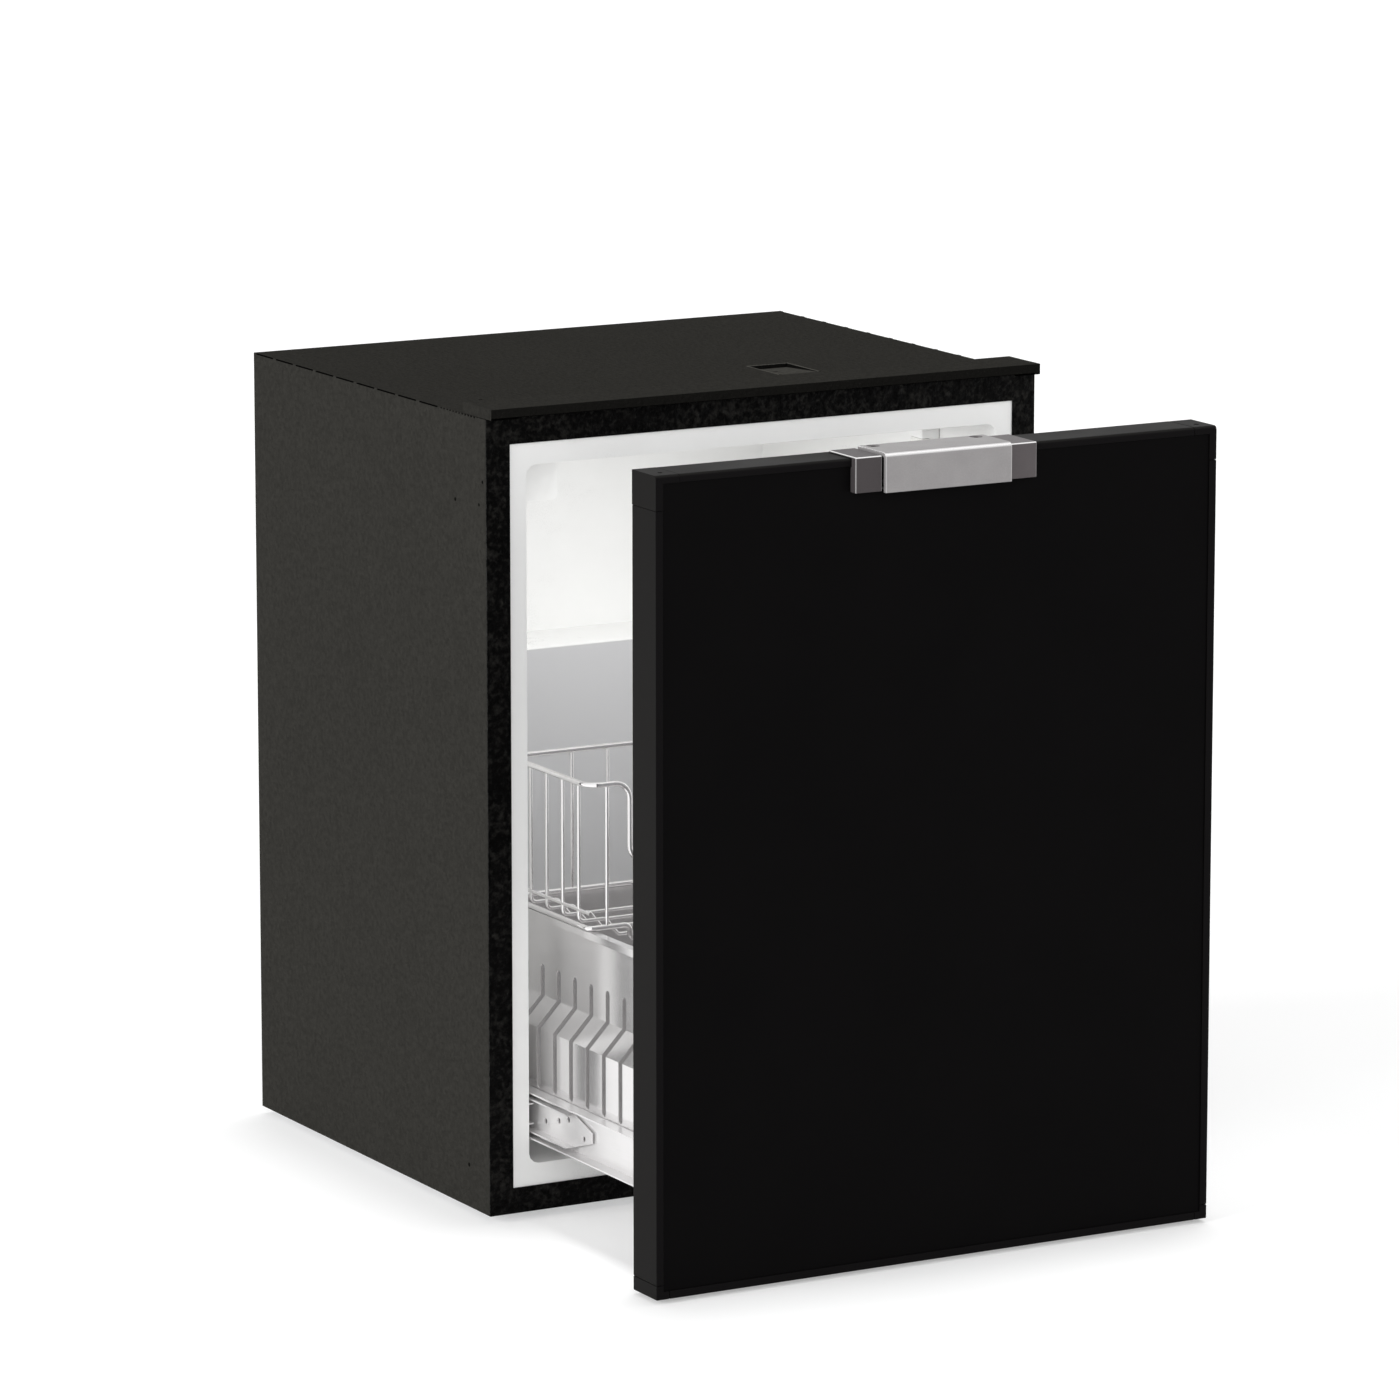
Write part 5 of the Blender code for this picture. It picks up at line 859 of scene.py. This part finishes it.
class MINIBAR_OT_shell(MinibarPiece, bpy.types.Operator):
    """Dress the cabinet's sheets, front frame and top rail, and screw on the back"""

    bl_idname = "minibar.shell"
    bl_label = "Cabinet shell"

    def execute(self, context):
        edge = self.sizes.sheet_edge
        dressed("outer_wrap", edge, "wrap_paint")
        dressed("front_frame", edge)
        dressed("top_rail", 0.0005, "rail_paint", 3)
        dressed("top_pocket", 0.0003, "pocket_paint")
        for node in ("base_plate", "back_panel", "bay_sheet"):
            dressed(node, edge)
        low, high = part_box("back_panel")
        left, right = low.x + PANEL_INSET, high.x - PANEL_INSET
        bottom, top = low.z + PANEL_INSET_UP, high.z - PANEL_INSET_UP
        spots = [(x, z) for x in evenly(left, right, 5) for z in (top, bottom)]
        spots += [(x, z) for z in evenly(bottom, top, 5)[1:-1] for x in (left, right)]
        screws("back_panel_screws", [((x, high.y, z), BACK) for x, z in spots])
        low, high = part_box("base_plate")
        screws("base_plate_screws", [((x, low.y + along, low.z), DOWN)
                                     for x in (low.x + PANEL_INSET, 0.0, high.x - PANEL_INSET)
                                     for along in BASE_SCREWS])
        return {"FINISHED"}


class MINIBAR_OT_feet(MinibarPiece, bpy.types.Operator):
    """Dress the four foot pads with a tread"""

    bl_idname = "minibar.feet"
    bl_label = "Feet"

    def execute(self, context):
        profile = [(0.0, 1.0), (0.93, 1.0), (0.93, 0.55), (1.0, 0.45), (1.0, 0.12), (0.95, 0.0)]
        for outer in (0.84, 0.64, 0.44, 0.24):
            profile += [(outer, 0.0), (outer - 0.03, 0.14), (outer - 0.08, 0.14), (outer - 0.11, 0.0)]
        profile.append((0.0, 0.0))
        for node in (f"foot_{end}_{side}" for end in ("front", "rear") for side in ("left", "right")):
            low, high, centre = span(node)
            pad = lathe(node + "_pad", sized(profile, (high.x - low.x) / 2, high.z - low.z),
                        (centre.x, centre.y, low.z), steps=36)
            stand_in(shaded(pad, 30.0), node)
        return {"FINISHED"}


class MINIBAR_OT_liner(MinibarPiece, bpy.types.Operator):
    """Dress the white liner and the insulation and cold plate behind it"""

    bl_idname = "minibar.liner"
    bl_label = "Liner"

    def execute(self, context):
        dressed("inner_liner", self.sizes.moulded_edge, "liner_plastic", 3)
        painted("cabinet_foam")
        painted("evaporator")
        return {"FINISHED"}


class MINIBAR_OT_thermostat(MinibarPiece, bpy.types.Operator):
    """Dress the thermostat and make its ridged knob and dial marks"""

    bl_idname = "minibar.thermostat"
    bl_label = "Thermostat"

    def execute(self, context):
        dressed("thermostat_housing", 0.0010, segments=3)
        painted("thermostat_body")
        low, high, centre = span("thermostat_knob")
        x, back, z = centre.x, high.y, centre.z
        radius, reach = (high.x - low.x) / 2, KNOB_LENGTH
        profile = [(0.0, reach - 0.0006), (0.62, reach - 0.0004), (0.80, reach - 0.0002),
                   (0.86, reach - 0.0012), (0.90, reach * 0.80), (0.945, 0.0022), (0.99, 0.0020),
                   (0.995, 0.0), (0.3, 0.0), (0.3, reach * 0.6), (0.0, reach * 0.6)]
        body = lathe("knob_body", sized(profile, radius), (x, back, z), "-Y", 48)
        ring = ridges("knob_ridges", (x, back - reach * 0.5, z), "knob_plastic", count=self.sizes.knob_ridges,
                      ring_radius=radius * 0.915, width=0.0009, height=0.0012, depth=reach * 0.62)
        grip = block("knob_grip", (0.0040, 0.0050, radius * 1.58), (x, low.y + 0.0025, z), 0.0009, 3)
        stand_in(shaded(joined("thermostat_knob_ridged", [body, ring, grip]), 40.0), "thermostat_knob")
        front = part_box("thermostat_housing")[0].y
        marks = ridges("dial_marks", (x, front - 0.00008, z), "grey_plastic", count=8,
                       ring_radius=radius * 1.22, width=0.0006, height=0.0022, depth=0.00030,
                       start=math.radians(-45.0), sweep=math.radians(308.0))
        finished(marks, "cabinet", "grey_plastic")
        return {"FINISHED"}


class MINIBAR_OT_lamp(MinibarPiece, bpy.types.Operator):
    """Dress the lamp and rib its lens"""

    bl_idname = "minibar.lamp"
    bl_label = "Lamp"

    def execute(self, context):
        dressed("lamp_housing", 0.0010, segments=3)
        low, high, centre = span("lamp_lens")
        face = low.x + LENS_RIB_RADIUS
        rows = [((face, low.y + (high.y - low.y) * (step + 0.5) / LENS_RIBS, centre.z), UP)
                for step in range(LENS_RIBS)]
        ribs = grown("lens_ribs", "bars", points_mesh("lens_ribs", rows), "lamp_lens", radius=LENS_RIB_RADIUS,
                     length=(high.z - low.z) * 0.94, sides=12)
        plate = linked("lens_plate", clean_copy("lamp_lens"))
        for vertex in plate.data.vertices:
            vertex.co.x = max(vertex.co.x, face)
        stand_in(shaded(joined("lamp_lens_ribbed", [plate, ribs]), 35.0), "lamp_lens")
        return {"FINISHED"}


class MINIBAR_OT_slides(MinibarPiece, bpy.types.Operator):
    """Dress the telescopic slides and screw them down"""

    bl_idname = "minibar.slides"
    bl_label = "Slides"

    def execute(self, context):
        rows = []
        for side, hand in SIDES:
            for member in ("cabinet_rail", "middle_rail", "drawer_rail"):
                dressed(f"{member}_{side}", self.sizes.sheet_edge, "slide_sheet")
            for member in ("inner_ball_cage", "outer_ball_cage"):
                dressed(f"{member}_{side}")
            low, high, centre = span(f"cabinet_rail_{side}")
            web = high.x - RAIL_GAUGE if hand > 0 else low.x + RAIL_GAUGE
            rows += [((web, low.y + along, centre.z), (-hand, 0, 0)) for along in RAIL_SCREWS]
        screws("cabinet_rail_screws", rows, head=0.0031)
        return {"FINISHED"}


class MINIBAR_OT_bin(MinibarPiece, bpy.types.Operator):
    """Dress the slotted steel bin"""

    bl_idname = "minibar.bin"
    bl_label = "Bin"

    def execute(self, context):
        dressed("bin", 0.00035, "brushed_sheet")
        return {"FINISHED"}


class MINIBAR_OT_basket(MinibarPiece, bpy.types.Operator):
    """Bend the basket out of round wire"""

    bl_idname = "minibar.basket"
    bl_label = "Wire basket"

    def execute(self, context):
        low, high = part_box("wire_basket")
        ring, thin = self.sizes.ring_wire, self.sizes.thin_wire
        half, front, back, top = high.x - ring, low.y + ring, high.y - ring, high.z - ring
        base = top - 0.1075
        dip, sunk, floor = half - 0.0345, top - 0.0600, base - 0.0110
        upper, lower = (([(-dip, front, z), (-half, front, z), (-half, back, z), (half, back, z),
                          (half, front, z), (dip, front, z), (dip, front, down), (-dip, front, down)], True)
                        for z, down in ((top, sunk), (base, floor)))
        pieces = [wires("upper_ring", [upper], ring, 0.0125, 8, 16),
                  wires("lower_ring", [lower], ring, 0.0048, 6, 16)]
        wall, step, ramp = half - ring + thin / 2, base + ring, dip + 0.011
        lines = []
        for y in evenly(front + 0.018, front + 0.093, 4):
            lines.append([(-wall, y, top), (-wall, y, step), (-ramp, y, step), (-dip, y, floor),
                          (dip, y, floor), (ramp, y, step), (wall, y, step), (wall, y, top)])
        reach = half - 0.054
        lines += [[(x, back, base), (x, back, top)] for x in evenly(-reach, reach, 9)]
        reach *= 7 / 8
        lines += [[(x, front, floor), (x, front, sunk)] for x in evenly(-reach, reach, 8)]
        lines += [[(x, front, base), (x, front, top)] for x in (0.0153 - half, half - 0.0153)]
        lines += [[(x, front, floor), (x, back - 0.022, floor), (x, back - 0.011, base), (x, back, base)]
                  for x in (-dip / 2, dip / 2)]
        lines += [[(x, front, base + 0.011), (x, back - 0.028, base + 0.011)] for x in (-wall, wall)]
        pieces.append(wires("thin_wires", [(line, False) for line in lines], thin, 0.0045, 4, 12))
        stand_in(shaded(joined("wire_basket_round", pieces), 40.0), "wire_basket", "chromed_wire")
        return {"FINISHED"}


class MINIBAR_OT_door(MinibarPiece, bpy.types.Operator):
    """Dress the drawer front: its frame, panel, seal, pan and brackets"""

    bl_idname = "minibar.door"
    bl_label = "Drawer front"

    def execute(self, context):
        edge = self.sizes.frame_edge
        for side in ("left", "right"):
            for node in (f"door_stile_{side}", f"door_top_cap_{side}", f"door_bottom_cap_{side}"):
                dressed(node, edge, segments=3)
            dressed(f"door_bracket_{side}", self.sizes.sheet_edge)
        dressed("door_top_rail", edge, segments=3)
        dressed("door_bottom_rail", edge, segments=3)
        dressed("front_panel", 0.0003)
        dressed("door_gasket", 0.0009, segments=3)
        dressed("door_inner_pan", 0.0005)
        painted("door_foam")
        rows = []
        for side, hand in SIDES:
            low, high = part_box(f"door_bracket_{side}")
            outer = low.x if hand < 0 else high.x
            inner = high.x - BRACKET_GAUGE if hand < 0 else low.x + BRACKET_GAUGE
            for z in (low.z + (high.z - low.z) * share for share in (0.28, 0.72)):
                rows.append(((outer - hand * 0.0075, low.y + BRACKET_GAUGE, z), BACK))
                rows += [((inner, low.y + along, z), (hand, 0, 0)) for along in BRACKET_SCREWS]
        screws("door_bracket_screws", rows, "drawer", 0.0028)
        return {"FINISHED"}


class MINIBAR_OT_handle(MinibarPiece, bpy.types.Operator):
    """Dress the handle: lever, rocker, caps, cup, pin, spring and screws"""

    bl_idname = "minibar.handle"
    bl_label = "Handle"

    def execute(self, context):
        dressed("latch_lever", 0.0006, "latch_lever", 3)
        dressed("latch_rocker", 0.0006)
        dressed("handle_housing", 0.0005)
        for side in ("left", "right"):
            dressed(f"handle_end_cap_{side}", 0.0005, f"handle_end_cap_{side}", 3)
            self.socket_screw(f"lever_screw_{side}")
        low, high, centre = span("lever_pin")
        wide = high.x - low.x
        profile = [(0.0, wide), (0.7, wide), (1.0, wide - 0.0008), (1.0, 0.0008), (0.7, 0.0), (0.0, 0.0)]
        profile = sized(profile, (high.z - low.z) / 2)
        pin = lathe("lever_pin_turned", profile, (low.x, centre.y, centre.z), "X", 28)
        stand_in(shaded(pin, 30.0), "lever_pin")
        self.spring(centre)
        return {"FINISHED"}

    def socket_screw(self, node):
        """One of the lever's two screws, with a hexagonal socket."""
        low, high, centre = span(node)
        radius, tall = (high.x - low.x) / 2, high.z - low.z
        under, shank, deep = tall - 0.0012, 0.0016, tall - 0.0011
        profile = [(radius * 0.44, tall), (radius * 0.86, tall), (radius * 0.985, tall - 0.0003),
                   (radius, tall - 0.0006), (radius, under), (shank, under), (shank, 0.0005), (0.0011, 0.0),
                   (0.0, 0.0)]
        foot = (centre.x, centre.y, low.z)
        body = lathe(node + "_body", profile, foot, steps=36)
        profile = [(radius * 0.44, tall), (radius * 0.40, deep), (0.0, deep)]
        socket = lathe(node + "_well", profile, foot, steps=36)
        for vertex in socket.data.vertices:
            away = Vector((vertex.co.x - centre.x, vertex.co.y - centre.y))
            if vertex.co.z < high.z - 0.0001 and away.length > 0.0001:
                turn = math.atan2(away.y, away.x) % (math.pi / 3) - math.pi / 6
                reach = radius * 0.34 / math.cos(turn)
                vertex.co.x = centre.x + away.x / away.length * reach
                vertex.co.y = centre.y + away.y / away.length * reach
        screw = joined(node + "_socketed", [body, socket])
        shape = bmesh.new()
        shape.from_mesh(screw.data)
        bmesh.ops.remove_doubles(shape, verts=shape.verts, dist=0.000002)
        bmesh.ops.recalc_face_normals(shape, faces=shape.faces)
        shape.to_mesh(screw.data)
        shape.free()
        stand_in(shaded(screw, 30.0), node)

    def spring(self, centre):
        """The torsion spring round the middle of the pin."""
        radius, half = SPRING_RADIUS, SPRING_WIDTH / 2
        path = [(-half, centre.y - 0.0140, centre.z - radius)]
        for share in evenly(0.0, 1.0, SPRING_STEPS + 1):
            angle = 2 * math.pi * SPRING_TURNS * share - QUARTER
            path.append((half * (2 * share - 1), centre.y + radius * math.cos(angle),
                         centre.z + radius * math.sin(angle)))
        path.append((half, centre.y + radius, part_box("lever_spring")[1].z))
        stand_in(wires("lever_spring_coil", [(path, False)], SPRING_WIRE, 0.0004, 2, 10), "lever_spring")


class MINIBAR_OT_cooling(MinibarPiece, bpy.types.Operator):
    """Make the cooling works at the back: compressor, coil, pipes, drier and electrics"""

    bl_idname = "minibar.cooling"
    bl_label = "Cooling works"

    def execute(self, context):
        self.compressor()
        self.condenser()
        dressed("suction_pipe")
        dressed("drier_line")
        dressed("control_box", 0.0012, segments=3)
        self.electrics()
        return {"FINISHED"}

    def compressor(self):
        """The sealed can on its rubber grommets, with its terminal cover."""
        low, high, middle = span("compressor")
        x, y = COMPRESSOR_PLACE
        plate = low.z + CAN_HEIGHT
        tall = high.z - plate
        dome = [(0.995 * math.sin(turn), 0.60 + 0.40 * math.cos(turn)) for turn in evenly(0.0, QUARTER, 9)]
        bowl = [(0.55 + 0.45 * math.cos(turn), 0.2 - 0.2 * math.sin(turn))
                for turn in evenly(0.0, QUARTER, 7)]
        profile = [*dome, (1.0, 0.51), (1.028, 0.495), (1.03, 0.47), (1.028, 0.45), (1.0, 0.435), *bowl,
                   (0.0, 0.0)]
        can = lathe("can", sized(profile, CAN_RADIUS, tall), (x, y, plate), "Z", 64, CAN_STRETCH)
        feet = block("feet", (high.x - low.x, FOOT_PLATE_WIDTH, FOOT_PLATE),
                     (middle.x, y, plate + FOOT_PLATE / 2), 0.0009, 2)
        cover = block("terminal_cover", (0.025, 0.025, tall * 0.35), (x + 0.065, y, plate + tall * 0.375),
                      0.0030, 4)
        spots = [(x, y + spread) for x in (low.x + GROMMET_REACH, high.x - GROMMET_REACH)
                 for spread in (-GROMMET_SPREAD, GROMMET_SPREAD)]
        grommets = [lathe("grommet", GROMMET, (*spot, low.z), "Z", 28) for spot in spots]
        stand_in(shaded(joined("compressor_can", [can, feet, cover]), 32.0), "compressor")
        finished(shaded(joined("compressor_grommets", grommets), 32.0), "cabinet", "rubber")
        screws("compressor_bolts", [((*spot, plate + FOOT_PLATE), UP) for spot in spots], head=0.0050)

    def condenser(self):
        """The coil with its wires and brackets."""
        x, back = COMPRESSOR_PLACE
        y, half = COIL_PLACE, COIL_HALF
        path = []
        for run, z in enumerate(evenly(COIL_BASE, COIL_TOP, COIL_RUNS)):
            side = half if run % 2 else -half
            path += [(side, y, z), (-side, y, z)]
        edge = -half - COIL_RETURN
        path[0] = (-half + COIL_RETURN, y, COIL_BASE)
        path[-1] = (edge, y, COIL_TOP)
        path += [(edge, y, PIPE_LEVEL), (edge, back, PIPE_LEVEL), (x - PIPE_END, back, PIPE_LEVEL)]
        tall, middle = COIL_TOP - COIL_BASE, (COIL_TOP + COIL_BASE) / 2
        bend = tall / (COIL_RUNS - 1) * 0.48
        coil = wires("coil", [(path, False)], COIL_TUBE, bend, 8, 14, "black_plastic")
        reach = half * 0.93
        rows = [((x, y + COIL_TUBE, middle), UP) for x in evenly(-reach, reach, self.sizes.coil_wires)]
        bars = grown("coil_wires", "bars", points_mesh("coil_wires", rows), "black_plastic", radius=0.0008,
                     length=tall + 0.015, sides=8)
        brackets = [block("bracket", (0.010, 0.0148, tall + 0.017),
                          (x + 0.005, y - COIL_TUBE / 2 - 0.0074, middle - 0.0065), 0.0012, 3)
                    for x in (-0.120, 0.120)]
        stand_in(shaded(joined("condenser_coil", [coil, bars, *brackets]), 40.0), "condenser")

    def electrics(self):
        """The lid's screws and the ribbed gland."""
        low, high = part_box("control_box")
        screws("control_box_screws", [((x, high.y, z), BACK) for x in (low.x + 0.008, high.x - 0.008)
                                      for z in (low.z + 0.008, high.z - 0.008)], head=0.0030)
        low, high, centre = span("cable_gland")
        radius, reach = (high.x - low.x) / 2, high.y - low.y
        profile = [(0.50, 1.0), (0.70, 1.0), (0.75, 0.96)]
        for rib in (0.86, 0.72, 0.58, 0.44):
            profile += [(0.78, rib), (0.78, rib - 0.05), (0.70, rib - 0.06), (0.70, rib - 0.13)]
        profile += [(0.86, 0.26), (1.0, 0.24), (1.0, 0.02), (0.96, 0.0), (0.50, 0.0), (0.50, 1.0)]
        gland = lathe("cable_gland_ribbed", sized(profile, radius, reach), (centre.x, low.y, centre.z), "Y")
        nut = ridges("gland_ribs", (centre.x, low.y + reach * 0.13, centre.z), "grey_plastic", count=24,
                     ring_radius=radius * 0.955, width=0.0008, height=0.0008, depth=reach * 0.2)
        stand_in(shaded(joined("cable_gland_nut", [shaded(gland, 30.0), nut]), 30.0), "cable_gland")


class MINIBAR_OT_stage(MinibarPiece, bpy.types.Operator):
    """Make the floor, the lights and the camera"""

    bl_idname = "minibar.stage"
    bl_label = "Stage"

    def execute(self, context):
        stage = context.scene.minibar_stage
        self.floor(stage)
        self.world(context, stage)
        for name, strength, spread, source in (("key_lamp", stage.key, 30.0, (-0.93, -0.05, 0.36)),
                                               ("fill_lamp", stage.fill, 60.0, (-0.25, -0.93, 0.25)),
                                               ("top_lamp", stage.top, 12.0, (0.06, 0.06, 1.0))):
            sun = self.lamp(name, "SUN", strength, angle=math.radians(spread))
            sun.rotation_euler = Vector(source).to_track_quat("Z", "Y").to_euler()
        back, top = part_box("evaporator")[0].y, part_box("thermostat_housing")[1].z - 0.010
        for name, share, across, along in (("inside_lamp_back", 0.36, 0.0, back - 0.16),
                                           ("inside_lamp_front", 0.64, 0.04, back - 0.30)):
            area = self.lamp(name, "AREA", stage.inside * share, shape="RECTANGLE", size=0.22, size_y=0.14)
            area.location = (across, along, top)
        glow = self.lamp("opening_lamp", "POINT", stage.opening, shadow_soft_size=0.06)
        glow.location = (-0.04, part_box("inner_liner")[0].y + 0.04, 0.45)
        camera = linked("camera", bpy.data.cameras.new("camera"))
        camera.location = CAMERA_PLACE
        camera.rotation_euler = (QUARTER - CAMERA_TILT, 0.0, CAMERA_PAN)
        camera.data.lens, camera.data.sensor_width, camera.data.clip_end = stage.lens, 36.0, 200.0
        context.scene.camera = camera
        context.scene.view_settings.view_transform = "Standard"
        return {"FINISHED"}

    def lamp(self, name, kind, strength, **settings):
        """A lamp that no reflection shows, nor the camera."""
        light = bpy.data.lights.new(name, kind)
        light.energy = strength
        for key, value in settings.items():
            setattr(light, key, value)
        lamp = linked(name, light)
        lamp.visible_camera = lamp.visible_glossy = False
        return lamp

    def floor(self, stage):
        """A wide pale floor that looks white and keeps the shadow."""
        mesh = bpy.data.meshes.new("floor")
        corners = ((-1, -1), (1, -1), (1, 1), (-1, 1))
        mesh.from_pydata([(x * FLOOR_REACH, y * FLOOR_REACH, 0.0) for x, y in corners], [], [(0, 1, 2, 3)])
        floor = linked("floor", mesh)
        finish = Finish("floor_white", specular_ior_level=0.0, roughness=1.0)
        finish.put("Base Color", finish.tones(finish.noise(3.0), stage.floor, 0.99, 1.0))
        finish.put("Emission Color", finish.mixed(finish.seen(), BLACK, WHITE))
        finish.put("Emission Strength", stage.floor_glow)
        mesh.materials.append(finish.material)

    def world(self, context, stage):
        """Even light, white where the camera or a reflection sees it."""
        world = bpy.data.worlds.new("white_room")
        world.use_nodes = True
        context.scene.world = world
        graph = Graph(world.node_tree)
        graph.tree.nodes.clear()
        strength = graph.seen() * (1.0 - stage.ambient) + stage.ambient
        light = graph.add("ShaderNodeBackground", {"Color": WHITE, "Strength": strength})
        graph.feed(graph.tree.nodes.new("ShaderNodeOutputWorld").inputs["Surface"], light)


OPERATORS = (MINIBAR_OT_finishes, MINIBAR_OT_shell, MINIBAR_OT_feet, MINIBAR_OT_liner, MINIBAR_OT_thermostat,
             MINIBAR_OT_lamp, MINIBAR_OT_slides, MINIBAR_OT_bin, MINIBAR_OT_basket, MINIBAR_OT_door,
             MINIBAR_OT_handle, MINIBAR_OT_cooling, MINIBAR_OT_stage)


class MINIBAR_PT_pieces(bpy.types.Panel):
    """The settings and the pieces, in the 3D view's sidebar"""

    bl_idname = "MINIBAR_PT_pieces"
    bl_label = "Drawer minibar"
    bl_space_type = "VIEW_3D"
    bl_region_type = "UI"
    bl_category = "Minibar"

    def draw(self, context):
        scene = context.scene
        for group in (scene.minibar_colours, scene.minibar_sizes, scene.minibar_stage):
            column = self.layout.column(align=True)
            for name in group.bl_rna.properties.keys():
                if name not in ("rna_type", "name"):
                    column.prop(group, name)
        column = self.layout.column(align=True)
        for operator in OPERATORS:
            column.operator(operator.bl_idname)


CLASSES = (MinibarColours, MinibarSizes, MinibarStage, *OPERATORS, MINIBAR_PT_pieces)


def register():
    """Register the classes and hang the settings on the scene."""
    for kind in CLASSES:
        bpy.utils.register_class(kind)
    bpy.types.Scene.minibar_colours = PointerProperty(type=MinibarColours)
    bpy.types.Scene.minibar_sizes = PointerProperty(type=MinibarSizes)
    bpy.types.Scene.minibar_stage = PointerProperty(type=MinibarStage)


def unregister():
    """Take the settings and the classes away again."""
    del bpy.types.Scene.minibar_stage
    del bpy.types.Scene.minibar_sizes
    del bpy.types.Scene.minibar_colours
    for kind in reversed(CLASSES):
        bpy.utils.unregister_class(kind)


def main():
    """Build every piece in order."""
    register()
    for operator in OPERATORS:
        family, action = operator.bl_idname.split(".")
        getattr(getattr(bpy.ops, family), action)()


if __name__ == "__main__":
    main()
